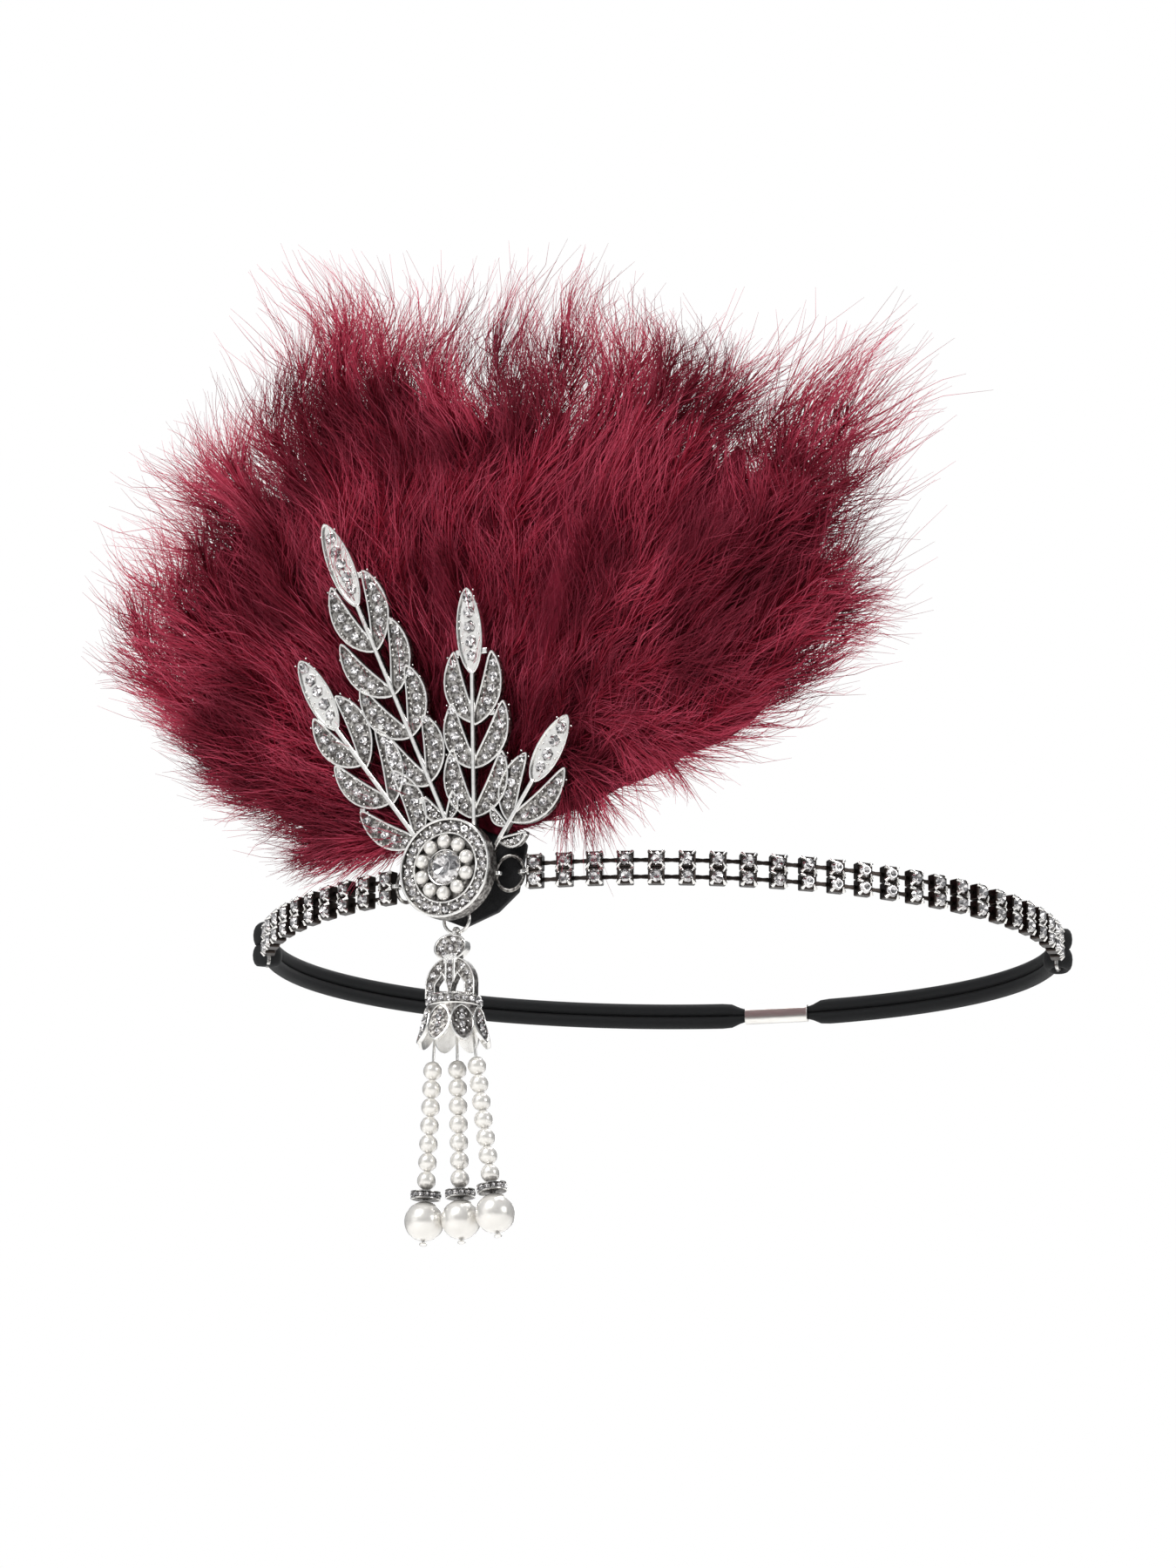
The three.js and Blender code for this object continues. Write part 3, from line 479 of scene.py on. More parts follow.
def braided_satin():
    """Elastic cord braided in black satin polyester: matt, with a faint rib and a soft sheen"""
    made, tree, shader = new_material(
        "braided_satin", Roughness=0.7, Specular_IOR_Level=0.25, Sheen_Weight=0.03,
    )
    place = add(tree, "UVMap", {})
    # The braid's threads cross every 0.6 mm, drawn at their real size
    thread = add(
        tree, "TexWave", {"Vector": place.outputs["UV"], "Scale": 1.7, "Distortion": 0.4},
        bands_direction="DIAGONAL",
    )
    tone = add(
        tree, "Mix", {0: thread.outputs["Fac"], 6: linear("#0b0c0d"), 7: linear("#191b1d")},
        data_type="RGBA",
    )
    rib = add(
        tree, "Bump", {"Height": thread.outputs["Fac"], "Strength": 0.35, "Distance": 0.0001}
    )
    tree.links.new(tone.outputs[2], shader.inputs["Base Color"])
    tree.links.new(rib.outputs[0], shader.inputs["Normal"])
    return made


def wool_felt():
    """Pressed black wool: dull, with a tangle of short fibres"""
    made, tree, shader, fibre = mottled(
        "wool_felt", "#0c0c0d", "#252527", {"Scale": 1500, "Detail": 6, "Distortion": 2},
        Roughness=0.95, Specular_IOR_Level=0.15, Sheen_Weight=0.2,
    )
    nap = add(tree, "Bump", {"Height": fibre, "Strength": 0.6, "Distance": 0.0003})
    tree.links.new(nap.outputs[0], shader.inputs["Normal"])
    return made


def nickel_plated_tube():
    """Nickel-plated crimp tube: bright, drawn smooth, with fine lines along its length"""
    made, tree, shader = new_material("nickel_plated_tube", Metallic=1, Roughness=0.3)
    place = add(tree, "TexCoord", {})
    drawn = add(tree, "Mapping", {"Vector": place.outputs["Object"], "Scale": (120, 900, 2500)})
    line = add(tree, "TexNoise", {"Vector": drawn.outputs[0], "Scale": 1, "Detail": 3})
    tone = add(
        tree, "Mix", {0: line.outputs["Fac"], 6: linear("#d3d0ca"), 7: linear("#faf9f6")},
        data_type="RGBA",
    )
    tree.links.new(tone.outputs[2], shader.inputs["Base Color"])
    return made


# Rhinestone chain

CUP_WALL = 0.28
CUP_SEAT = 0.6
CLAW_REACH = 1.72
CLAW_LEAN = math.radians(-38)
LINK_HEIGHT = 0.9
LINK_DEPTH = 0.7
LINK_MIDDLE = -0.45
RING_WIRE = 0.45
CLEARANCE = 0.3
LUG_HOLE = 0.77
LUG_RIM = 0.5
LUG_THICKNESS = 0.85
LUG_HALF = LUG_HOLE + LUG_RIM
LUG_REACH = CUP_SIZE / 2 + CLEARANCE + RING_WIRE
KNOT_SPREAD = 2.3
KNOT_CORD = 1.5
FRAME_WIRE = 0.8
BAR_RADIUS = 0.6
END_HALF = KNOT_SPREAD + KNOT_CORD + CLEARANCE + FRAME_WIRE
KNOT_RADIUS = BAR_RADIUS + CLEARANCE + KNOT_CORD
BAR_REACH = CUP_SIZE / 2 + FRAME_WIRE + CLEARANCE + KNOT_RADIUS + KNOT_CORD


def stone_cup(bright, dark):
    """A square stamped cup with a sunk seat and a claw folded over each corner"""
    cup = block((CUP_SIZE - 0.1, CUP_SIZE - 0.1, CUP_DEPTH))
    bevelled(cup, 0.3)
    top = CUP_DEPTH / 2
    pick(cup, lambda face: face.normal.z > 0.99)
    bpy.ops.mesh.inset(thickness=CUP_WALL)
    lift(-CUP_SEAT)
    done()
    # The cup body takes the dark gunmetal as painted shade; its claws, of the same metal, stay
    # bright
    painted(cup, dark)
    claws = []
    for corner in range(4):
        turn = math.radians(45 + 90 * corner)
        claw = start(
            bpy.ops.mesh.primitive_cone_add, vertices=6, radius1=0.52, radius2=0.2, depth=1.25,
            location=(*on_circle(CLAW_REACH, turn), top + 0.25), rotation=(0, CLAW_LEAN, turn),
        )
        claws.append(painted(bevelled(claw, 0.08), bright))
    return one_piece([cup, *claws])


def chain_link(dark):
    """The flat strip between two cups, waisted in its middle"""
    length = COLUMN_PITCH - CUP_SIZE + 0.7
    link = block((length, LINK_HEIGHT, LINK_DEPTH))
    pick(link, lambda face: True)
    bpy.ops.mesh.subdivide(number_cuts=3)
    done()
    for corner in link.data.vertices:
        if abs(corner.co.x) < length / 8:
            corner.co.y *= 0.78
    return painted(bevelled(link, 0.12), dark)


def eye_lug(look):
    """A round flat tab about its drilled eye, which runs along Z"""
    half = LUG_THICKNESS / 2
    lug = turned(
        "eye_lug",
        [
            (LUG_HOLE, -half), (LUG_HALF - 0.12, -half), (LUG_HALF, 0.12 - half),
            (LUG_HALF, half - 0.12), (LUG_HALF - 0.12, half), (LUG_HOLE, half), (LUG_HOLE, -half),
        ],
        24,
    )
    return painted(smooth(lug), look)


def end_frame(side, look):
    """The open frame soldered to the last cups, whose bar the elastic is knotted round"""
    x = side * (CUP_SIZE / 2 + FRAME_WIRE / 2)
    parts = [block((FRAME_WIRE, 2 * END_HALF, FRAME_WIRE), (x, 0, 0))]
    reach = BAR_REACH + BAR_RADIUS - CUP_SIZE / 2
    for end in (1, -1):
        place = (side * (CUP_SIZE / 2 + reach / 2), end * (END_HALF - FRAME_WIRE / 2), 0)
        parts.append(block((reach, FRAME_WIRE, FRAME_WIRE), place))
    parts = [bevelled(part, 0.2) for part in parts]
    parts.append(
        start(
            bpy.ops.mesh.primitive_cylinder_add, vertices=16, radius=BAR_RADIUS,
            depth=2 * END_HALF - FRAME_WIRE, location=(side * BAR_REACH, 0, 0),
            rotation=(math.pi / 2, 0, 0),
        )
    )
    return painted(smooth(one_piece(parts)), look)


def cup_chain(side, name, silver, dark, stone):
    count = COLUMNS[side]
    frames = [band_frame(column_angle(side, index)) for index in range(count)]
    between = [band_frame(column_angle(side, index + 0.5)) for index in range(count - 1)]
    rows = [Matrix.Translation((0, row * ROW_PITCH / 2, 0)) for row in (-1, 1)]
    cup = stone_cup(silver, dark)
    link = chain_link(dark)
    cups = repeated("cups", cup, [place @ row for place in frames for row in rows])
    sink = Matrix.Translation((0, 0, LINK_MIDDLE))
    links = repeated("links", link, [place @ row @ sink for place in between for row in rows])
    last = end_frame(side, silver)
    last.data.transform(frames[-1])
    lug = eye_lug(silver)
    eye = at(-side * LUG_REACH, 0, 0) @ Matrix.Rotation(math.pi / 2, 4, "X")
    lug.data.transform(frames[0] @ eye)
    drop_templates(cup, link)
    metal = one_piece([cups, links, last, lug])
    settle(metal, name + "_cups", BAND, "root", "rhinestone_chain", name)
    glass = cut_stone("glass", STONE_RADIUS, 0.85, 8, stone)
    # Stones are set by hand, each turned and tipped a little its own way
    rng = np.random.default_rng(11 + count)
    seats = []
    for place in frames:
        for row in rows:
            tip = Matrix.Rotation(rng.normal(0, 0.06), 4, "X")
            tip = tip @ Matrix.Rotation(rng.normal(0, 0.06), 4, "Y")
            turn = rng.uniform(0, math.pi)
            seats.append(place @ row @ at(0, 0, CUP_DEPTH / 2 - 0.2, 1, turn) @ tip)
    stones = repeated("stones", glass, seats)
    drop_templates(glass)
    settle(stones, name + "_stones", BAND, "root", "rhinestone_chain")


# Elastic

CORD_RADIUS = 1.5
LOOP_CORD = 1.2
KNOT_TAPER = 10
CORD_STEP = 2
KNOT_FLAT = 2.05
CRIMP_ANGLE = math.radians(162)
CRIMP_LENGTH = 15
CRIMP_HEIGHT = 4.1
CRIMP_DEPTH = 3
CRIMP_WALL = 0.42
CRIMP_GROOVE = 0.25
CRIMP_TAPER = 5
SQUEEZED_RADIUS = 0.68
SQUEEZED_SPREAD = 0.66


def crimp_frame():
    low, high = (
        band_point(band_along(CRIMP_ANGLE, end * CRIMP_LENGTH / 2)) for end in (-1, 1)
    )
    along = (high - low).normalized()
    up = Vector((0, 0, 1))
    return basis(along, up, along.cross(up), (low + high) / 2)


def mix(low, high, share):
    return low + (high - low) * share


def tube(name, route, sides, flat=1):
    """A tube along a route of centres, headings and radii, with its UV map in millimetres"""
    points, faces, laps = [], [], [0]
    for place, (centre, heading, up, radius) in enumerate(route):
        across = heading.cross(up).normalized()
        rise = across.cross(heading).normalized()
        for side in range(sides):
            turn = 2 * math.pi * side / sides
            round_it = across * math.cos(turn) + rise * flat * math.sin(turn)
            points.append(centre + radius * round_it)
        if place:
            laps.append(laps[-1] + (centre - route[place - 1][0]).length)
            low = (place - 1) * sides
            for side in range(sides):
                near, far = low + side, low + (side + 1) % sides
                faces.append((near, far, far + sides, near + sides))
    walls = len(faces)
    faces.append(tuple(range(sides))[::-1])
    faces.append(tuple(range(len(points) - sides, len(points))))
    made = mesh_object(name, points, faces)
    layer = made.data.uv_layers.new(name="length")
    girth = 2 * math.pi * CORD_RADIUS
    for number, face in enumerate(made.data.polygons):
        for corner, loop in enumerate(face.loop_indices):
            if number < walls:
                lap = laps[number // sides + (corner in (2, 3))]
                share = (number % sides + (corner in (1, 2))) / sides
                layer.data[loop].uv = (share * girth, lap)
    return made


def elastic_cord(side, name, look):
    """Two cords, one above the other, from the knots on the end bar into the crimp"""
    chain_end = column_angle(side, COLUMNS[side] - 1)
    knot = band_frame(chain_end) @ Matrix.Translation((side * BAR_REACH, 0, 0))
    begin = band_along(chain_end, side * BAR_REACH)
    crimp_centre = CRIMP_ANGLE if side > 0 else CRIMP_ANGLE - 2 * math.pi
    mouth = band_along(crimp_centre, -side * CRIMP_LENGTH / 2)
    length, place = 0, begin
    while side * (mouth - place) > 0:
        place = band_along(place, side * 0.5)
        length += 0.5
    steps = round(length / CORD_STEP)
    tail = crimp_frame() @ Matrix.Translation((-side * CLEARANCE, 0, 0))
    cords = []
    for end in (1, -1):
        route = [(knot @ Vector((side * (KNOT_RADIUS - 0.6), end * KNOT_SPREAD, 0)), CORD_RADIUS)]
        for step in range(1, steps + 1):
            gone = length * step / steps
            from_knot = min(1, gone / KNOT_TAPER)
            from_knot = from_knot * from_knot * (3 - 2 * from_knot)
            to_crimp = max(0, 1 - (length - gone) / CRIMP_TAPER)
            to_crimp = to_crimp * to_crimp * (3 - 2 * to_crimp)
            spread = mix(mix(KNOT_SPREAD, CORD_RADIUS, from_knot), SQUEEZED_SPREAD, to_crimp)
            here = band_frame(band_along(begin, side * gone))
            if gone > KNOT_RADIUS + 1:
                radius = mix(CORD_RADIUS, SQUEEZED_RADIUS, to_crimp)
                route.append((here @ Vector((0, end * spread, 0)), radius))
        route.append((tail @ Vector((0, end * SQUEEZED_SPREAD, 0)), SQUEEZED_RADIUS))
        centres = [centre for centre, radius in route]
        lined = []
        for number, (centre, radius) in enumerate(route):
            before = centres[max(0, number - 1)]
            after = centres[min(len(centres) - 1, number + 1)]
            lined.append((centre, (after - before).normalized(), Vector((0, 0, 1)), radius))
        cords.append(tube("cord", lined, 16))
        loop = []
        for number in range(25):
            turn = 2 * math.pi * number / 24
            out = Vector((math.cos(turn), 0, math.sin(turn)))
            heading = Vector((-math.sin(turn), 0, math.cos(turn)))
            rise = end * (KNOT_SPREAD + 0.35 * math.cos(turn))
            centre = knot @ (out * (KNOT_RADIUS - 0.3) + Vector((0, rise, 0)))
            loop.append((centre, knot.to_3x3() @ heading, Vector((0, 0, 1)), LOOP_CORD))
        cords.append(tube("loop", loop, 14, KNOT_FLAT))
    made = one_piece([painted(smooth(cord, 60), look) for cord in cords])
    settle(made, name + "_braid", BAND, "root", "elastic", name)


def crimp_tube(look, dark):
    """The flat tube squeezed on the cord ends, with a groove along its face"""
    half_height, half_depth = CRIMP_HEIGHT / 2, CRIMP_DEPTH / 2
    body = start(
        bpy.ops.mesh.primitive_cylinder_add, vertices=32, radius=1, depth=CRIMP_LENGTH,
        rotation=(0, math.pi / 2, 0),
    )
    for corner in body.data.vertices:
        turn = math.atan2(corner.co.y, corner.co.z)
        corner.co.y = half_height * math.copysign(abs(math.sin(turn)) ** 0.6, math.sin(turn))
        corner.co.z = half_depth * math.copysign(abs(math.cos(turn)) ** 0.6, math.cos(turn))
        if corner.co.z > 0 and abs(corner.co.y) < 0.5:
            corner.co.z -= CRIMP_GROOVE * (1 - abs(corner.co.y) / 0.5)
    pick(body, lambda face: abs(face.normal.x) > 0.9)
    bpy.ops.mesh.inset(thickness=CRIMP_WALL)
    done()
    for end in (1, -1):
        pick(body, lambda face: end * face.normal.x > 0.9 and len(face.verts) > 4)
        move = {"value": (-end * 1.2, 0, 0)}
        bpy.ops.mesh.extrude_region_move(TRANSFORM_OT_translate=move)
        done()
    inner = CRIMP_LENGTH / 2 - 0.6
    # The two floors inside the tube's ends take the dark gunmetal as painted shade
    painted(body, look, (dark, lambda face: len(face.vertices) > 4 and abs(face.center.x) < inner))
    bevelled(smooth(body, 30), 0.08, 2, 60)
    settle(body, "crimp_tube", crimp_frame(), "root", "silver", "crimp")


# Medallion

DISC_RADIUS = 10.8
DISC_BACK = 3.2
DISC_FACE = 7.0
HUB_RADIUS = 5.2
HUB_BACK = -1.6
PAVE_FLOOR = 6.2
WELL_FLOOR = 5.1
INNER_RIM = 7.5
PEARL_CIRCLE = 5.6
RING_PEARL_RADIUS = 1.5
RING_PEARLS = 10
RING_RADIUS = 3
RING_PLANE = 1.1
DROP_RING_HANG = 7
SEEN_WIRE = 0.35
SEEN_RING = 3.08
SIDE_RING_TALL = 1.22
FELT_THICKNESS = 1.5


def chain_hole(side):
    """Where a chain's eye lies in the brooch's frame"""
    eye = band_frame(column_angle(side, 0)) @ Vector((-side * LUG_REACH, 0, 0))
    return BROOCH.inverted() @ eye


def disc_hole(side):
    """Where the disc's own eye lies, one ring's width nearer the middle"""
    far = chain_hole(side)
    step = math.sqrt((2 * RING_RADIUS) ** 2 - (far.z - RING_PLANE) ** 2)
    return Vector((far.x - side * step, far.y, RING_PLANE))


def medallion(silver, dark):
    profile = [
        (0, HUB_BACK), (HUB_RADIUS - 0.2, HUB_BACK), (HUB_RADIUS, HUB_BACK + 0.2),
        (HUB_RADIUS, DISC_BACK), (DISC_RADIUS - 0.35, DISC_BACK), (DISC_RADIUS, DISC_BACK + 0.3),
        (DISC_RADIUS, DISC_FACE - 0.75), (DISC_RADIUS - 0.12, DISC_FACE - 0.62),
        (DISC_RADIUS - 0.12, DISC_FACE - 0.5), (DISC_RADIUS, DISC_FACE - 0.38),
        (DISC_RADIUS, DISC_FACE - 0.15), (DISC_RADIUS - 0.15, DISC_FACE),
        (DISC_RADIUS - 0.4, DISC_FACE), (DISC_RADIUS - 0.55, DISC_FACE - 0.15),
        (DISC_RADIUS - 0.55, PAVE_FLOOR), (INNER_RIM + 0.22, PAVE_FLOOR),
        (INNER_RIM + 0.22, DISC_FACE - 0.5), (INNER_RIM + 0.1, DISC_FACE - 0.35),
        (INNER_RIM - 0.1, DISC_FACE - 0.35), (INNER_RIM - 0.22, DISC_FACE - 0.5),
        (INNER_RIM - 0.22, WELL_FLOOR), (0, WELL_FLOOR),
    ]
    body = smooth(turned("disc", profile, 72), 35)

    # Sunk floors and inner walls take the dark plate, blackening deepened as painted shade; the
    # outer side wall and the back take it as painted shade
    def sunk(face):
        x, y, z = face.center
        out = math.hypot(x, y)
        floor = face.normal.z > 0.9 and z < DISC_FACE - 0.45
        wall = out > DISC_RADIUS - 0.2 and DISC_BACK + 0.3 < z < DISC_FACE - 0.6
        inside = abs(face.normal.z) < 0.5 and out < DISC_RADIUS - 0.5 and z > WELL_FLOOR
        return floor or wall or inside or z < DISC_BACK

    painted(body, silver, (dark, sunk))
    parts = [body]
    eyes = [(disc_hole(side), Matrix.Rotation(math.pi / 2, 4, "X")) for side in (-1, 1)]
    eyes.append((Vector((0, -DROP_RING_HANG, RING_PLANE)), Matrix.Rotation(math.pi / 2, 4, "Y")))
    for hole, turn in eyes:
        lug = eye_lug(silver)
        lug.data.transform(Matrix.Translation(hole) @ turn)
        parts.append(lug)
    for side in (-1, 1):
        hole = disc_hole(side)
        near, far = side * (HUB_RADIUS - 0.4), hole.x - side * (LUG_HOLE + 0.1)
        arm = block(
            (abs(far - near), LUG_THICKNESS, 2 * LUG_HALF),
            ((near + far) / 2, hole.y, (RING_PLANE + DISC_BACK) / 2 - 0.3),
        )
        parts.append(painted(bevelled(arm, 0.12), silver))
    top, low = -HUB_RADIUS + 0.4, -DROP_RING_HANG + LUG_HOLE + 0.1
    arm = block((LUG_THICKNESS, top - low, 2 * LUG_HALF), (0, (top + low) / 2, RING_PLANE))
    parts.append(painted(bevelled(arm, 0.12), silver))
    settle(one_piece(parts), "medallion_casting", BROOCH, "root", "silver", "medallion")


def medallion_stones(stone, silver):
    """A ring of small brilliants with a bead of the casting between each two"""
    count, circle = 24, (DISC_RADIUS - 0.55 + INNER_RIM + 0.22) / 2
    rng = np.random.default_rng(3)
    glass = cut_stone("pave", 1.1, 0.6, 8, stone)
    bead = small_bead("bead", 0.34, silver)
    seats, dots = [], []
    for number in range(count):
        turn = 2 * math.pi * number / count
        far = circle + 0.1 * (-1) ** number
        seats.append(set_by_hand(rng, at(*on_circle(far, turn), PAVE_FLOOR), 1, -0.02, 0.08))
        half = turn + math.pi / count
        for reach in (circle - 0.95, circle + 0.95):
            dots.append(at(*on_circle(reach, half), PAVE_FLOOR + 0.15))
    stones = repeated("stones", glass, seats)
    beads = repeated("beads", bead, dots)
    drop_templates(glass, bead)
    settle(stones, "medallion_stones", BROOCH, "root", "crystal")
    settle(beads, "medallion_beads", BROOCH, "root", "silver")


def centre_crystal(stone, silver):
    """A twelve-sided brilliant with star facets round its table, in a thin collet"""
    sides, culet, girdle, crown = 12, 5.4, 6.4, 8.1
    # Radius, height and turn of each ring of corners, from the cut-off point to the table
    rings = [
        (2.4, culet, 0), (3.8, girdle, 0), (3.8, girdle + 0.35, 0), (3.15, 7.35, 0.5),
        (2.2, crown, 0),
    ]
    points = [(0, 0, culet)]
    for reach, height, lag in rings:
        for side in range(sides):
            points.append((*on_circle(reach, 2 * math.pi * (side + lag) / sides), height))
    faces = [(0, 1 + (side + 1) % sides, 1 + side) for side in range(sides)]
    for ring in range(len(rings) - 1):
        low = 1 + ring * sides
        for side in range(sides):
            after = (side + 1) % sides
            quad = (low + side, low + after, low + sides + after, low + sides + side)
            if ring < 2:
                faces.append(quad)
            elif ring == 2:
                faces += [(quad[0], quad[1], quad[3]), quad[1:]]
            else:
                faces += [quad[:3], (quad[0], *quad[2:])]
    faces.append(tuple(range(len(points) - sides, len(points))))
    crystal = mesh_object("crystal", points, faces)
    choose(crystal)
    bpy.ops.object.mode_set(mode="EDIT")
    outward()
    pick(crystal, lambda face: len(face.verts) == sides)
    bpy.ops.mesh.inset(thickness=0.25)
    bpy.ops.mesh.poke(offset=-0.9)
    done()
    painted(crystal, stone)
    settle(crystal, "centre_brilliant", BROOCH, "root", "crystal", "centre_crystal")
    collet = turned(
        "collet",
        [(3.82, WELL_FLOOR), (3.98, WELL_FLOOR), (3.98, 6.75), (3.85, 6.95), (3.7, 6.9),
         (3.82, 6.6), (3.82, WELL_FLOOR)],
        48,
    )
    painted(smooth(collet), silver)
    settle(collet, "crystal_collet", BROOCH, "root", "silver")


def medallion_pearls(look):
    height = WELL_FLOOR + CLEARANCE + RING_PEARL_RADIUS
    for number in range(RING_PEARLS):
        turn = 2 * math.pi * (number + 0.5) / RING_PEARLS
        pearl = drilled_pearl("pearl", RING_PEARL_RADIUS, 0.25, look)
        place = at(*on_circle(PEARL_CIRCLE, turn), height, 1, turn)
        node = f"medallion_pearl_{number + 1:02d}"
        lean = Matrix.Rotation(math.radians(80), 4, "Y")
        settle(pearl, node + "_bead", BROOCH @ place @ lean, "root", "pearl", node)


def felt_patch(look):
    """The hand-cut felt behind the brooch, with a soft rounded edge"""
    corners = [
        (-138, 1.04), (-90, 1.03), (-47, 1.08), (-20, 1.26), (20, 1.45),
        (50, 1.42), (90, 1.3), (128, 1.3), (160, 1.22), (190, 1.16),
    ]
    back = HUB_BACK - CLEARANCE - FELT_THICKNESS
    points = [
        (*on_circle(share * DISC_RADIUS, math.radians(degrees)), back) for degrees, share in corners
    ]
    patch = mesh_object("felt", points, [tuple(range(len(points)))])
    choose(patch)
    pick(patch, lambda face: True)
    lift(FELT_THICKNESS)
    outward()
    done()
    bevelled(patch, 0.35, 3)
    painted(smooth(patch, 60), look)
    settle(patch, "felt_patch", BROOCH, "root", "felt", "backing_pad")


def jump_ring(name, place, body, node, look, tall=1):
    """A wire ring, cut across where it was opened"""
    ring = start(
        bpy.ops.mesh.primitive_torus_add, major_radius=SEEN_RING, minor_radius=SEEN_WIRE,
        major_segments=48, minor_segments=12,
    )
    slit = math.radians(80)
    for corner in ring.data.vertices:
        turn = math.atan2(corner.co.y, corner.co.x)
        near = abs(turn - slit) * RING_RADIUS
        if near < 0.2:
            centre = Vector((*on_circle(RING_RADIUS, turn), 0))
            corner.co = centre + (corner.co - centre) * 0.82
    ring.data.transform(Matrix.Diagonal((1, tall, 1, 1)))
    painted(smooth(ring, 60), look)
    settle(ring, name, place, body, "silver", node)


def brooch_rings(look, dark):
    for side, word in ((-1, "left"), (1, "right")):
        near, far = disc_hole(side), chain_hole(side)
        across = (far - near).normalized()
        up = Vector((0, 1, 0))
        place = BROOCH @ basis(across, up, across.cross(up), (near + far) / 2)
        jump_ring(f"jump_ring_{word}", place, "root", f"side_ring_{word}", dark, SIDE_RING_TALL)
    hang = at(0, -DROP_RING_HANG - RING_RADIUS, RING_PLANE)
    jump_ring("jump_ring_drop", BROOCH @ hang, "drop_ring", "drop_ring", look)


# Leaf spray

SPRAY_DEPTH = 1.4
SPRAY_MIDDLE = 1.85
SPRAY_PIVOT = 8
SPRAY_LEAN = math.radians(6.8)
LEAF_FLOOR = 0.5
LEAF_RIM = 0.5
STEM_WIDTH = 1.05
STEM_ROOT = 3
TERMINAL_WIDTH = 6.2
SIDE_WIDTH = 5.2
LEAF_BOW = 0.125
SIDE_STONE = 1.3
TIP_STONE = 1.55

SPRAY = (
    BROOCH
    @ Matrix.Translation((0, SPRAY_PIVOT, SPRAY_MIDDLE))
    @ Matrix.Rotation(SPRAY_LEAN, 4, "X")
    @ Matrix.Translation((0, -SPRAY_PIVOT, 0))
)

# Each sprig is a stem with a leaf at its tip and side leaves in pairs. Angles are in degrees, up
# from the disc's right. A leaf gives its share of the stem, its turn from it and its length.
SPRIGS = [
    {
        "foot": (-1.9, 11.2), "angle": 111.8, "length": 52.5, "tip_angle": 111.8, "tip": 20.7,
        "leaves": [
            (0.79, 12.7, 18.7), (0.79, -13.4, 18.4), (0.585, 23.6, 18.1), (0.585, -20, 17.1),
            (0.39, 23.4, 17.2), (0.39, -19.3, 15.9), (0.17, 20.6, 15.7), (0.18, -17.6, 14.9),
            (0, 20.6, 7.9), (0, -37, 6.8),
        ],
    },
    {
        "foot": (-8.1, 6.6), "angle": 125.8, "length": 33.5, "tip_angle": 118.4, "tip": 18.5,
        "leaves": [
            (0.7, 10.2, 16.5), (0.66, -13.9, 18.2), (0.37, 19, 16.5), (0.35, -24.9, 17.4),
            (0.03, 24.4, 16.5), (0.03, -16, 17.2),
        ],
    },
    {
        "foot": (4.8, 10.4), "angle": 88, "length": 31.6, "tip_angle": 91.8, "tip": 18.8,
        "leaves": [
            (0.67, 16.2, 16.3), (0.65, -16.8, 16.5), (0.36, 19.8, 15.3), (0.36, -27.8, 15.9),
            (0.02, 18.4, 16.3), (0.03, -26.9, 15.5),
        ],
    },
    {
        "foot": (10.3, 5.7), "angle": 53.1, "length": 14.5, "tip_angle": 55.3, "tip": 16.2,
        "leaves": [
            (0.32, 18.5, 15.2), (0.33, -17.4, 17.1), (0.25, 73, 5.9), (0, -44, 7),
        ],
    },
]

# Small square tabs that tie neighbouring leaves together
SPRAY_TABS = [
    (-21.1, 66.9), (-24.9, 65.2), (-13.7, 55.9), (-17.1, 33.3), (-30.1, 35.7), (-28, 25.1),
    (-22.4, 15.7), (-7.8, 16.3), (8.9, 46.7), (2.7, 46.9), (10.2, 33.3),
]


def rimmed_plate(name, outline, depth, rim, floor, silver, dark, bright_back=False):
    """A cast plate on an outline: a rounded bright rim round a dark floor, blackening deepened as
    painted shade; below the top its side walls take the dark as painted shade unless bright_back
    """
    plate = start(bpy.ops.mesh.primitive_circle_add, vertices=len(outline), fill_type="NGON")
    plate.name = name
    for corner, (x, y) in zip(plate.data.vertices, outline):
        corner.co = (x, y, -depth / 2)
    pick(plate, lambda face: True)
    lift(depth - 0.1)
    bpy.ops.mesh.inset(thickness=rim * 0.22, depth=0.1)
    bpy.ops.mesh.inset(thickness=rim * 0.5)
    bpy.ops.mesh.inset(thickness=rim * 0.22, depth=-0.1)
    bpy.ops.mesh.inset(thickness=rim * 0.06, depth=0.1 - floor)
    outward()
    done()
    # Floors take the dark plate as blackening deepened by painted shade, lower side walls as
    # painted shade
    low = depth / 2 - 0.2
    sides = -depth if bright_back else depth / 2 - 0.45

    def sunk(face):
        return face.center.z < low and (face.normal.z > 0.3 or face.center.z < sides)

    return smooth(painted(plate, silver, (dark, sunk)), 35)


def leaf_outline(length, width, bow):
    """A pointed oval round a bowed middle line, from its foot to its tip along X"""
    count = 28
    outline = []
    for number in range(count):
        turn = 2 * math.pi * (number + 0.5) / count
        along = (1 - math.cos(turn)) / 2
        half = width / 2 * abs(math.sin(turn)) ** 1.2 * (1.08 - 0.16 * along)
        middle = bow * length * 4 * along * (1 - along)
        outline.append((along * length, middle - math.copysign(half, math.sin(turn))))
    return outline


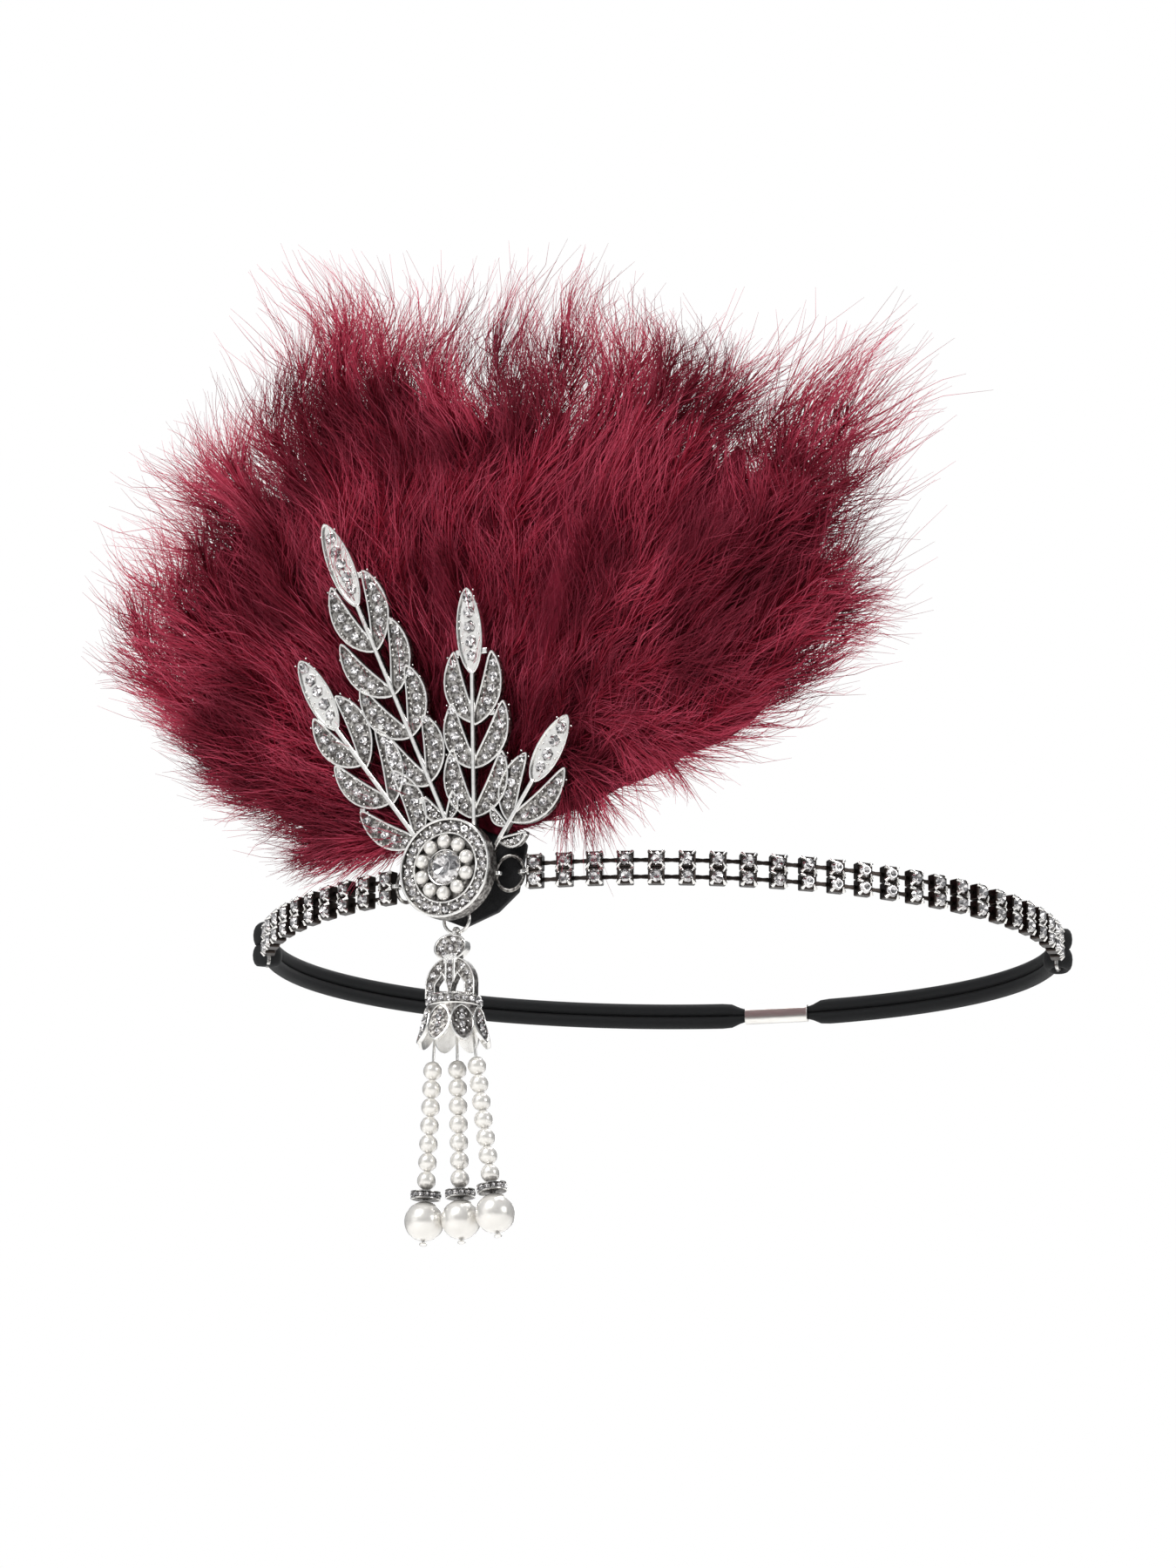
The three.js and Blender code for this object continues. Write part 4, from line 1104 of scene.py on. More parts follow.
def leaf_seats(length, width, bow, place, largest):
    """Places of a leaf's stones, in a row down its middle, and of the beads beside them"""
    stones, beads = [], []
    reach = length * 0.14
    while reach < length * 0.86:
        along = reach / length
        half = width / 2 * (2 * math.sqrt(along * (1 - along))) ** 1.2 - LEAF_RIM
        size = max(0.55, min(largest, half * 0.92))
        reach += size
        along = min(0.95, reach / length)
        middle = bow * length * 4 * along * (1 - along)
        lean = math.atan(bow * 4 * (1 - 2 * along))
        here = place @ at(reach, middle, 0, 1, lean)
        stones.append((here, size))
        reach += size + 0.1
        side = max(0.35, half - 0.28)
        beads += [here @ at(size * 0.95, end * side, 0) for end in (1, -1)]
        if half > 1.75:
            beads += [here @ at(0, end * (half - 0.2), 0) for end in (1, -1)]
    return stones, beads


def leaf_spray(silver, dark, stone):
    parts, stones, beads = [], [], []
    rng = np.random.default_rng(5)

    def add_leaf(x, y, degrees, length, width, bow, floor):
        place = at(x, y, rng.uniform(-0.04, 0.04), 1, math.radians(degrees))
        outline = leaf_outline(length, width, bow)
        leaf = rimmed_plate("leaf", outline, SPRAY_DEPTH, LEAF_RIM, LEAF_FLOOR, silver, floor)
        leaf.data.transform(place)
        parts.append(leaf)
        set_in, dots = leaf_seats(length, width, bow, place, SIDE_STONE if bow else TIP_STONE)
        stones.extend(set_in)
        beads.extend(dots)

    def bar(length, width, place, height):
        made = block((length, width, height + 0.7), (length / 2, 0, (height - 0.7) / 2))
        # The bar's sides and underside take the dark plate as painted shade; its top stays bright
        painted(bevelled(made, 0.22), silver, (dark, lambda face: face.center.z < 0.2))
        made.data.transform(place)
        parts.append(made)

    for sprig in SPRIGS:
        turn = math.radians(sprig["angle"])
        foot = Vector(sprig["foot"])
        along = Vector((math.cos(turn), math.sin(turn)))
        tip = foot + along * sprig["length"]
        root = foot - along * STEM_ROOT
        whole = sprig["length"] + STEM_ROOT + LEAF_RIM
        bar(whole, STEM_WIDTH, at(root.x, root.y, 0, 1, turn), 0.85)
        add_leaf(tip.x, tip.y, sprig["tip_angle"], sprig["tip"], TERMINAL_WIDTH, 0, silver)
        for share, lean, size in sprig["leaves"]:
            base = foot + along * (share * sprig["length"])
            bow = math.copysign(LEAF_BOW, lean)
            width = min(SIDE_WIDTH, size * 0.42)
            add_leaf(base.x, base.y, sprig["angle"] + lean, size, width, bow, dark)
    for x, y in SPRAY_TABS:
        bar(1.5, 1.3, at(x - 0.75, y, 0), 0.45)
    yoke = turned("yoke", [(6, -0.7), (9.6, -0.7), (9.6, 0), (6, 0), (6, -0.7)], 48)
    pick(yoke, lambda face: True)
    bpy.ops.mesh.bisect(
        plane_co=(0, 3, 0), plane_no=(0, 1, 0), use_fill=True, clear_inner=True,
    )
    done()
    parts.append(painted(yoke, dark))
    settle(one_piece(parts), "leaf_sprigs", SPRAY, "root", "silver", "leaf_spray")
    top = SPRAY_DEPTH / 2 - LEAF_FLOOR
    glass = cut_stone("glass", 1, 0.62, 6, stone)
    seats = [set_by_hand(rng, place, size, top - 0.06, 0.09) for place, size in stones]
    settle(repeated("stones", glass, seats), "leaf_stones", SPRAY, "root", "crystal")
    dot = small_bead("dot", 0.24, silver)
    laid = repeated("dots", dot, [place @ at(0, 0, top + 0.12) for place in beads])
    settle(laid, "leaf_beads", SPRAY, "root", "silver")
    drop_templates(glass, dot)


# Drop

DROP = BROOCH @ Matrix.Translation((0, -DROP_RING_HANG - 2 * RING_RADIUS, RING_PLANE))
DROP_DEPTH = 2
DROP_PLANE = 0.8
DROP_DISC_RADIUS = 3.1
DROP_DISC_FALL = 3.6
ARCH_HALF = 5.9
ARCH_TOP = 5.6
ARCH_FOOT = 14.2
ARCH_ARM = 2.4
TONGUE_HALF = 0.9
WINDOW_TOP = 9.4
BELL_TOP = 15.7
BELL_TOP_RADIUS = 5.8
BELL_MOUTH_RADIUS = 7.85
BELL_HEIGHT = 8.3
BELL_CENTRE = 0.6
PETALS = 8
PETAL_LENGTH = 8.2
PETAL_WIDTH = 5.3
PETAL_WRAP = 6.6
CROWN_STONES = 20
DISC_OVAL = Matrix.Diagonal((1.28, 0.92, 1, 1))


def arch_outline(side):
    """One arm of the arch, from its foot over its shoulder to the tongue"""
    shoulder = -ARCH_TOP - ARCH_HALF
    points = [(ARCH_HALF - ARCH_ARM, -ARCH_FOOT), (ARCH_HALF, -ARCH_FOOT), (ARCH_HALF, shoulder)]
    for step in range(1, 9):
        turn = step / 9 * math.radians(82)
        x, rise = on_circle(ARCH_HALF, turn)
        points.append((x, shoulder + rise))
    points += [(TONGUE_HALF, -ARCH_TOP - 0.1), (TONGUE_HALF, shoulder + 0.2)]
    points += [(TONGUE_HALF + 0.9, -WINDOW_TOP), (ARCH_HALF - ARCH_ARM, shoulder)]
    return points if side > 0 else [(-x, y) for x, y in points[::-1]]


def about_y(radius, height, turn):
    """A place on the bell: X runs down its wall, Y along its girth and Z out of it"""
    lean = math.atan((BELL_MOUTH_RADIUS - BELL_TOP_RADIUS) / BELL_HEIGHT)
    out = Vector((math.sin(turn), 0, math.cos(turn)))
    down = Vector((0, -math.cos(lean), 0)) + out * math.sin(lean)
    girth = Vector((math.cos(turn), 0, -math.sin(turn)))
    place = Vector((0, height, BELL_CENTRE)) + out * radius
    return basis(down, girth, down.cross(girth), place)


def petal(silver, dark):
    """One petal of the bell, wrapped round its wall; plain behind"""
    outline = leaf_outline(PETAL_LENGTH, PETAL_WIDTH, 0)
    plate = rimmed_plate("petal", outline, 0.8, 0.4, 0.35, silver, dark, bright_back=True)
    for corner in plate.data.vertices:
        corner.co.z -= corner.co.y**2 / (2 * PETAL_WRAP)
    return plate


def drop_casting(silver, dark, stone):
    middle = DROP_PLANE + DROP_DEPTH / 2
    parts, stones, beads = [], [], []
    eye = eye_lug(silver)
    eye.data.transform(Matrix.Rotation(math.pi / 2, 4, "Y"))
    parts.append(eye)
    top = DROP_PLANE + DROP_DEPTH
    rim = DROP_DISC_RADIUS
    disc = turned(
        "disc",
        [(0, DROP_PLANE), (rim - 0.2, DROP_PLANE), (rim, DROP_PLANE + 0.2), (rim, top - 0.9),
         (rim - 0.12, top - 0.8), (rim, top - 0.7), (rim, top - 0.15), (rim - 0.15, top),
         (rim - 0.3, top), (rim - 0.42, top - 0.15), (rim - 0.42, top - 0.45), (0, top - 0.45)],
        48,
    )
    disc.data.transform(at(0, -DROP_DISC_FALL, 0) @ DISC_OVAL)
    # The disc's sunk floor takes the dark plate, blackening deepened as painted shade
    sunk = lambda face: face.normal.z > 0.9 and face.center.z < top - 0.3
    parts.append(painted(smooth(disc), silver, (dark, sunk)))
    stones.append((at(0, -DROP_DISC_FALL, top - 0.45), 0.95))
    for number in range(7):
        turn = 2 * math.pi * (number + 0.5) / 7
        far = DISC_OVAL @ Vector((*on_circle(1.88, turn), top - 0.45))
        stones.append((at(far.x, far.y - DROP_DISC_FALL, far.z), 0.84))
    for side in (1, -1):
        arm = rimmed_plate("arm", arch_outline(side), DROP_DEPTH, 0.34, 0.4, silver, dark)
        arm.data.transform(Matrix.Translation((0, 0, middle)))
        parts.append(arm)
        low = (side * (ARCH_HALF - ARCH_ARM / 2), -ARCH_FOOT + 1.2)
        ring = ARCH_HALF - ARCH_ARM / 2
        spots = [low] + [
            (side * ring * math.cos(turn), -ARCH_TOP - ARCH_HALF + ring * math.sin(turn))
            for turn in map(math.radians, (2, 27, 52))
        ]
        stones += [(at(x, y, top - 0.4), 0.82) for x, y in spots]
        beads += [at(side * 2.2, -8.9, top - 0.3), at(side * 5.4, -12.4, top - 0.3)]
    shoulder = -ARCH_TOP - ARCH_HALF
    half = TONGUE_HALF
    tongue = [
        (-half, -ARCH_TOP), (-half, shoulder + 0.6), (-0.15, -ARCH_FOOT + 0.6),
        (0.15, -ARCH_FOOT + 0.6), (half, shoulder + 0.6), (half, -ARCH_TOP),
    ]
    strip = rimmed_plate("tongue", tongue, DROP_DEPTH, 0.2, 0.3, silver, dark)
    strip.data.transform(Matrix.Translation((0, 0, middle)))
    parts.append(strip)
    stones += [(at(0, y, top - 0.3), 0.72) for y in (-6.7, -8.3, -9.9, -11.4)]
    neck = block((3.4, 2, DROP_DEPTH - 0.2), (0, -ARCH_TOP - 0.4, middle))
    parts.append(painted(bevelled(neck, 0.2), silver))
    # The cap that carries the petals, its band set with stones
    foot, cap = -ARCH_FOOT + 0.4, BELL_TOP_RADIUS
    crown = turned(
        "crown",
        [(0, foot), (cap - 0.5, foot), (cap - 0.1, foot - 0.25), (cap, foot - 0.45),
         (cap - 0.18, foot - 0.6), (cap - 0.18, foot - 2.15), (cap, foot - 2.3),
         (cap - 0.1, foot - 2.55), (cap - 0.7, foot - 2.8), (0, foot - 2.8)],
        48,
    )
    crown.data.transform(Matrix.Translation((0, 0, BELL_CENTRE)) @ UPRIGHT)
    # The band's channel takes the dark plate, blackening deepened as painted shade
    band = lambda face: math.hypot(face.center.x, face.center.z - BELL_CENTRE) > cap - 0.3
    inside = lambda face: band(face) and foot - 2.2 < face.center.y < foot - 0.55
    parts.append(painted(smooth(crown), silver, (dark, inside)))
    for number in range(CROWN_STONES):
        turn = 2 * math.pi * number / CROWN_STONES
        out = Vector((math.sin(turn), 0, math.cos(turn)))
        girth = Vector((math.cos(turn), 0, -math.sin(turn)))
        seat = Vector((0, foot - 1.38, BELL_CENTRE)) + out * (cap - 0.2)
        stones.append((basis(girth, Vector((0, 1, 0)), out, seat), 0.8))
    # A dark cone that the petals lie on: painted shade that shows between them
    skirt = turned("skirt", [(5.2, 0), (5.55, 0), (6.35, -4.6), (6.1, -4.6), (5.2, 0)], 48)
    skirt.data.transform(at(0, -BELL_TOP, BELL_CENTRE) @ UPRIGHT)
    parts.append(painted(smooth(skirt), dark))
    for number in range(PETALS):
        turn = 2 * math.pi * number / PETALS
        leaf = petal(silver, dark)
        place = about_y(BELL_TOP_RADIUS - 0.1, -BELL_TOP - 0.9, turn)
        leaf.data.transform(place)
        parts.append(leaf)
        for reach, size in ((1.5, 0.6), (2.9, 0.85), (4.6, 0.85), (6.1, 0.6)):
            stones.append((place @ at(reach, 0, 0.02), size))
        for reach, side in ((2.2, 0.85), (3.8, 1.3), (5.4, 0.95)):
            beads += [place @ at(reach, end * side, 0.1 - side**2 / 13) for end in (1, -1)]
    settle(one_piece(parts), "drop_pendant", DROP, "drop", "silver", "drop_casting")
    rng = np.random.default_rng(9)
    glass = cut_stone("glass", 1, 0.62, 6, stone)
    seats = [set_by_hand(rng, place, size, -0.04, 0.1) for place, size in stones]
    settle(repeated("stones", glass, seats), "drop_stones", DROP, "drop", "crystal")
    dot = small_bead("dot", 0.24, silver)
    settle(repeated("dots", dot, beads), "drop_beads", DROP, "drop", "silver")
    drop_templates(glass, dot)


# Pearl strings

STRING_WIRE = 0.3
SMALL_PEARLS = 7
SMALL_RADIUS = 2
SMALL_PITCH = 3.88
STRING_LEAD = 12.6
RONDELLE_RADIUS = 3.3
RONDELLE_HEIGHT = 1.8
RONDELLE_STONES = 13
BIG_RADIUS = 4.2
BELL_ROOF = 0.9
END_RADIUS = 0.85

STRINGS = [
    {"name": "left", "across": -4, "forward": 0.6, "lean": -2.6},
    {"name": "middle", "across": 0.2, "forward": -0.6, "lean": 2.4},
    {"name": "right", "across": 4.2, "forward": 0.6, "lean": 8.6},
]


def pearl_strings(silver, dark, pearl_look, stone):
    last_small = -STRING_LEAD - (SMALL_PEARLS - 1) * SMALL_PITCH
    rondelle_top = last_small - SMALL_RADIUS - CLEARANCE
    rondelle_middle = rondelle_top - RONDELLE_HEIGHT / 2
    big_centre = rondelle_top - RONDELLE_HEIGHT - CLEARANCE - BIG_RADIUS
    end = big_centre - BIG_RADIUS - CLEARANCE
    edge, half = RONDELLE_RADIUS, RONDELLE_HEIGHT / 2
    for row in STRINGS:
        hang = (
            DROP
            @ Matrix.Translation((row["across"], -BELL_TOP - BELL_ROOF - CLEARANCE,
                                  BELL_CENTRE + row["forward"]))
            @ Matrix.Rotation(math.radians(row["lean"]), 4, "Z")
            @ UPRIGHT
        )
        wire = turned(
            "wire",
            [(0, -0.1), (END_RADIUS, -0.3), (END_RADIUS, -0.9), (STRING_WIRE, -1.2),
             (STRING_WIRE, end), (END_RADIUS * 0.8, end - 0.05), (END_RADIUS, end - 0.3),
             (END_RADIUS * 0.8, end - 0.65), (0, end - 0.8)],
            12,
        )
        painted(smooth(wire), silver)
        small = drilled_pearl("small", SMALL_RADIUS, 0.42, pearl_look)
        seats = [at(0, 0, -STRING_LEAD - number * SMALL_PITCH) for number in range(SMALL_PEARLS)]
        beads = repeated("pearls", small, seats)
        drop_templates(small)
        name = row["name"]
        string = one_piece([beads, wire])
        settle(string, f"small_pearls_{name}", hang, "drop", "pearl", f"pearl_string_{name}")
        spacer = turned(
            "spacer",
            [(0.7, -half), (edge - 0.4, -half), (edge - 0.1, -half + 0.1),
             (edge - 0.1, -half + 0.3), (edge - 0.7, -half + 0.36), (edge - 0.7, half - 0.36),
             (edge - 0.1, half - 0.3), (edge - 0.1, half - 0.1), (edge - 0.4, half), (0.7, half),
             (0.7, -half)],
            32,
        )
        # The rondelle's faces and stone channel take the dark plate, blackening deepened as painted
        # shade; its rims stay bright
        rim = lambda face: math.hypot(face.center.x, face.center.y) > edge - 0.42
        painted(smooth(spacer), dark, (silver, rim))
        glass = cut_stone("glass", 0.66, 0.55, 6, stone)
        seats = []
        for number in range(RONDELLE_STONES):
            turn = 2 * math.pi * number / RONDELLE_STONES
            out = Vector((math.cos(turn), math.sin(turn), 0))
            girth = Vector((-math.sin(turn), math.cos(turn), 0))
            seats.append(basis(girth, Vector((0, 0, 1)), out, out * (edge - 0.62)))
        ring = repeated("ring", glass, seats)
        drop_templates(glass)
        made = one_piece([spacer, ring])
        made.data.transform(Matrix.Translation((0, 0, rondelle_middle)))
        settle(made, f"stone_rondelle_{name}", hang, "drop", "rhinestone_chain", f"rondelle_{name}")
        big = drilled_pearl("big", BIG_RADIUS, 0.5, pearl_look)
        big.data.transform(Matrix.Translation((0, 0, big_centre)))
        settle(big, f"large_pearl_{name}", hang, "drop", "pearl", f"drop_pearl_{name}")


# Feather plume: marabou feathers that fan from a root behind the disc, in six layers.
# Roots and tips are in millimetres; bow bends a feather sideways.

PLUME_LOCKS = [
    {"root": (-6, 8.5), "tip": (-40, 14), "bow": 0.1, "width": 0.2},
    {"root": (-6, 8.5), "tip": (-78, 47), "bow": 0.1, "width": 0.3},
    {"root": (-6, 8.5), "tip": (-86, 61), "bow": 0.1, "width": 0.7},
    {"root": (-5, 8.5), "tip": (-85, 76), "bow": 0.1, "width": 0.9},
    {"root": (-5, 8.5), "tip": (-79, 88), "bow": 0.08, "width": 0.95},
    {"root": (-4, 8.5), "tip": (-72, 102), "bow": 0.06, "width": 0.95},
    {"root": (-4, 8.5), "tip": (-60, 112), "bow": 0.04, "width": 0.95},
    {"root": (-3, 8.5), "tip": (-48, 124), "bow": 0.02, "width": 0.95},
    {"root": (-2, 8.5), "tip": (-38, 139), "bow": 0, "width": 0.85},
    {"root": (-1, 8.5), "tip": (-19, 134), "bow": 0, "width": 0.9},
    {"root": (0, 8.5), "tip": (0, 130), "bow": 0, "width": 0.95},
    {"root": (1, 8.5), "tip": (17, 123), "bow": 0, "width": 0.95},
    {"root": (2, 8.5), "tip": (34, 118), "bow": -0.02, "width": 0.95},
    {"root": (3, 8.5), "tip": (51, 113), "bow": -0.04, "width": 1},
    {"root": (3, 8.5), "tip": (68, 105), "bow": -0.05, "width": 1},
    {"root": (4, 8.5), "tip": (86, 98), "bow": -0.06, "width": 1},
    {"root": (5, 8.5), "tip": (94, 86), "bow": -0.08, "width": 0.95},
    {"root": (6, 8.5), "tip": (91, 65), "bow": -0.1, "width": 0.85},
    {"root": (6, 8.5), "tip": (88, 52), "bow": -0.1, "width": 0.5},
    {"root": (7, 8.5), "tip": (47, 31), "bow": -0.1, "width": 0.2},
]

# Short curled tufts that stand in front of the others on the plume's right
PLUME_TUFTS = [
    {"root": (30, 28), "tip": (62, 58), "bow": 0.2, "width": 0.5},
    {"root": (28, 27), "tip": (66, 42), "bow": 0.25, "width": 0.45},
    {"root": (24, 27), "tip": (44, 60), "bow": 0.1, "width": 0.4},
    {"root": (26, 30), "tip": (48, 20), "bow": 0.3, "width": 0.4},
    {"root": (20, 26), "tip": (30, 13), "bow": 0.2, "width": 0.3},
]

# How far the plume's front and back stand from the disc's plane, along a feather
FACE_REACH = [0, 0.1, 0.17, 0.32, 0.55, 0.8, 1]
FACE_FRONT = [0.6, 0.9, 1.3, 2.4, 6, 9, 7]
FACE_BACK = [-1.4, -1.5, -2.6, -8, -11, -9, -5]

# Tips past the first reach ease off over the second; the front is flat to the camera
PLUME_LEFT = 84
PLUME_SOFT = 17
PLUME_FRONT = 57
PLUME_TURN = 0.516

QUILL_SHARE = 0.88
FEATHER_LAYERS = (-0.8, -0.5, -0.2, 0.15, 0.5, 0.85)
TUFT_LAYERS = (0.9, 1.1)
BARBS = 290
BARB_STEPS = 4
BARB_LENGTH = 33
BARB_RADIUS = 0.12
CLUMPS = 22

# The inner down's thickness along a lock, as shares of its largest width and depth
CORE_REACH = [0, 0.15, 0.4, 0.68, 0.82]
CORE_SWELL = [0.14, 0.42, 0.8, 0.75, 0.12]
CORE_WIDTH = 10
CORE_DEPTH = 5


def drift(points, size, reach, seed):
    """A smooth push made of crossing waves of about one size, in millimetres"""
    rng = np.random.default_rng(seed)
    push = np.zeros_like(points)
    for _ in range(7):
        way = rng.normal(0, 1, 3)
        wave = way / np.linalg.norm(way) * 2 * math.pi / (size * rng.uniform(0.7, 1.4))
        swell = np.sin(points @ wave + rng.uniform(0, 2 * math.pi))
        push += swell[..., None] * rng.normal(0, reach / math.sqrt(7), 3)
    return push


def away(points):
    """How far out on the plume points lie: none at the disc, all from 90 mm on"""
    return np.clip(np.linalg.norm(points[..., :2], axis=-1) / 90, 0, 1)[..., None]


def quill_points(lock, share, layer, jitter):
    """Points of a feather's quill, and its headings, at shares of its length"""
    start = np.array(lock["root"])
    tip = np.array(lock["tip"]) + jitter
    chord = tip - start
    sideways = np.array((-chord[1], chord[0])) * lock["bow"]
    middle = start + chord / 2 + sideways
    s = share[:, None]
    flat = (1 - s) ** 2 * start + 2 * s * (1 - s) * middle + s**2 * tip
    heading = 2 * (1 - s) * (middle - start) + 2 * s * (tip - middle)
    heading /= np.linalg.norm(heading, axis=1)[:, None]
    reach = np.linalg.norm(flat, axis=1) / PLUME_RISE
    front = np.interp(reach, FACE_REACH, FACE_FRONT)
    back = np.interp(reach, FACE_REACH, FACE_BACK)
    wrap = np.maximum(0, np.abs(flat[:, 0]) - PLUME_FLAT_HALF) ** 2 / (2 * PLUME_WRAP)
    depth = (front + back) / 2 + layer * (front - back) / 2 - wrap
    return np.column_stack((flat, depth)), np.column_stack((heading, np.zeros(len(s))))


def barb_lines(lock, layer, rng):
    """Centre lines of one feather's barbs: count, steps and axes"""
    count = int(BARBS * (0.55 + 0.45 * lock["width"]))
    place = np.sort(rng.uniform(0.02, 1, count) ** 0.72) * QUILL_SHARE
    jitter = rng.normal(0, 8, 2) * lock["width"]
    start, heading = quill_points(lock, place, layer, jitter)
    side = np.column_stack((heading[:, 1], -heading[:, 0], np.zeros(count)))
    depth = np.array((0, 0, 1.0))
    turn = rng.uniform(0, 2 * math.pi, count)
    round_quill = side * np.cos(turn)[:, None] + depth * (0.65 * np.sin(turn))[:, None]
    spread = np.radians(rng.uniform(20, 60, count))
    first = heading * np.cos(spread)[:, None] + round_quill * np.sin(spread)[:, None]
    bend = spread * rng.uniform(-0.2, 0.8, count)
    last = heading * np.cos(bend)[:, None] + round_quill * np.sin(bend)[:, None]
    last += rng.normal(0, 0.3, (count, 3))
    last[:, 1] -= 0.15 * heading[:, 0] ** 2
    length = BARB_LENGTH * np.interp(place, [0, 0.2, 0.5, 0.88], [0.2, 0.5, 0.95, 0.85])
    length = length * (0.45 + 0.55 * lock["width"]) * rng.uniform(0.5, 1.12, count)
    u = np.linspace(0, 1, BARB_STEPS + 1)[None, :, None]
    first, last, length = first[:, None, :], last[:, None, :], length[:, None, None]
    lines = start[:, None, :] + length * (first * (u - u**2 / 2) + last * u**2 / 2)
    # Neighbouring barbs cling together toward their tips
    clump = (place / QUILL_SHARE * CLUMPS).astype(int) * 5 + (turn / (2 * math.pi / 5)).astype(int)
    tips = lines[:, -1, :]
    for number in np.unique(clump):
        held = clump == number
        middle = tips[held].mean(axis=0)
        lines[held] += (middle - tips[held])[:, None, :] * 0.4 * u**1.7
    # The whole down waves gently, and each barb a little more toward its tip
    far = away(lines)
    lines += drift(lines, 55, 3.5, 1) * far
    lines += drift(lines, 11, 1.9, 2) * far * u
    # The outermost tips are brushed back into the plume's outline
    over = np.maximum(0, -PLUME_LEFT - lines[..., 0])
    lines[..., 0] += over - PLUME_SOFT * np.tanh(over / PLUME_SOFT)
    lines[..., 2] = np.minimum(lines[..., 2], PLUME_FRONT - PLUME_TURN * lines[..., 0])
    return lines


def barb_mesh(name, lines, rng):
    """Thin tapered three-sided barbs round their centre lines, as one mesh"""
    count, rings = lines.shape[:2]
    heading = np.gradient(lines, axis=1)
    heading /= np.linalg.norm(heading, axis=2)[:, :, None]
    across = np.cross(heading, rng.normal(0, 1, (count, 1, 3)))
    across /= np.linalg.norm(across, axis=2)[:, :, None]
    other = np.cross(heading, across)
    share = np.linspace(0, 1, rings)
    radius = (BARB_RADIUS * (1 - 0.8 * share**1.3))[None, :, None, None]
    turn = (np.arange(3) * 2 * math.pi / 3)[None, None, :, None]
    ring = across[:, :, None, :] * np.cos(turn) + other[:, :, None, :] * np.sin(turn)
    points = (lines[:, :, None, :] + ring * radius).reshape(-1, 3)
    base = (np.arange(count) * rings * 3)[:, None, None]
    step = (np.arange(rings - 1) * 3)[None, :, None]
    edge = np.arange(3)[None, None, :]
    near, far = edge, (edge + 1) % 3
    corners = [base + step + near, base + step + far, base + step + far + 3, base + step + near + 3]
    walls = np.stack([c + 0 * edge for c in corners], axis=-1).reshape(-1, 4)
    ends = np.concatenate((base[:, 0] + [[2, 1, 0]], base[:, 0] + (rings - 1) * 3 + [[0, 1, 2]]))
    made = mesh_object(name, points, walls.tolist() + ends.tolist())
    made.data.polygons.foreach_set("use_smooth", [True] * len(made.data.polygons))
    along = made.data.attributes.new("along", "FLOAT", "POINT")
    along.data.foreach_set("value", np.tile(np.repeat(share, 3), count).astype(np.float32))
    tint = made.data.attributes.new("tint", "FLOAT", "POINT")
    shade = rng.uniform(0, 0.8, count)
    tint.data.foreach_set("value", np.repeat(shade, rings * 3).astype(np.float32))
    return made


def down_core(look):
    """The dense short down along the quills, which closes the plume behind its long barbs"""
    sides, share = 10, np.linspace(0.02, CORE_REACH[-1], 12)
    form = np.interp(share, CORE_REACH, CORE_SWELL)
    halfway = [
        {key: np.add(low[key], high[key]) / 2 for key in low}
        for low, high in zip(PLUME_LOCKS, PLUME_LOCKS[1:])
    ]
    points, faces = [], []
    for lock in PLUME_LOCKS + halfway:
        middle, heading = quill_points(lock, share, 0, np.zeros(2))
        base = len(points)
        for (x, y, z), way, swell in zip(middle, heading, form):
            half_width = swell * lock["width"] * CORE_WIDTH
            half_depth = min(swell * CORE_DEPTH, 1 + swell * CORE_DEPTH * y / 60)
            for side in range(sides):
                turn = 2 * math.pi * side / sides
                across = half_width * math.cos(turn)
                rise = half_depth * math.sin(turn)
                points.append((x + way[1] * across, y - way[0] * across, z - 1 + rise))
        last = len(points) - sides
        for low in range(base, last, sides):
            for side in range(sides):
                after = (side + 1) % sides
                faces.append((low + side, low + side + sides, low + after + sides, low + after))
        faces.append(tuple(range(base, base + sides)))
        faces.append(tuple(range(last, last + sides))[::-1])
    core = mesh_object("core", points, faces)
    core.data.polygons.foreach_set("use_smooth", [True] * len(faces))
    laid = np.array([corner.co for corner in core.data.vertices])
    laid += (drift(laid, 55, 3.5, 1) + drift(laid, 12, 1.2, 4)) * away(laid)
    core.data.vertices.foreach_set("co", laid.ravel())
    core.data.materials.append(look)
    settle(core, "marabou_core", BROOCH, "root", "feather")


def feather_plume():
    rng = np.random.default_rng(7)
    look = marabou_dye_and_shade()
    per_piece = 4
    groups = [
        [(lock, layer) for lock in PLUME_LOCKS[first:first + per_piece] for layer in FEATHER_LAYERS]
        for first in range(0, len(PLUME_LOCKS), per_piece)
    ]
    groups.append([(tuft, layer) for tuft in PLUME_TUFTS for layer in TUFT_LAYERS])
    for number, feathers in enumerate(groups):
        lines = [barb_lines(lock, layer, rng) for lock, layer in feathers]
        name = f"marabou_{number + 1}"
        made = barb_mesh(name, np.concatenate(lines), rng)
        made.data.materials.append(look)
        settle(made, name, BROOCH, "root", "feather", "feather_plume")
    down_core(dense_down())


# Stage

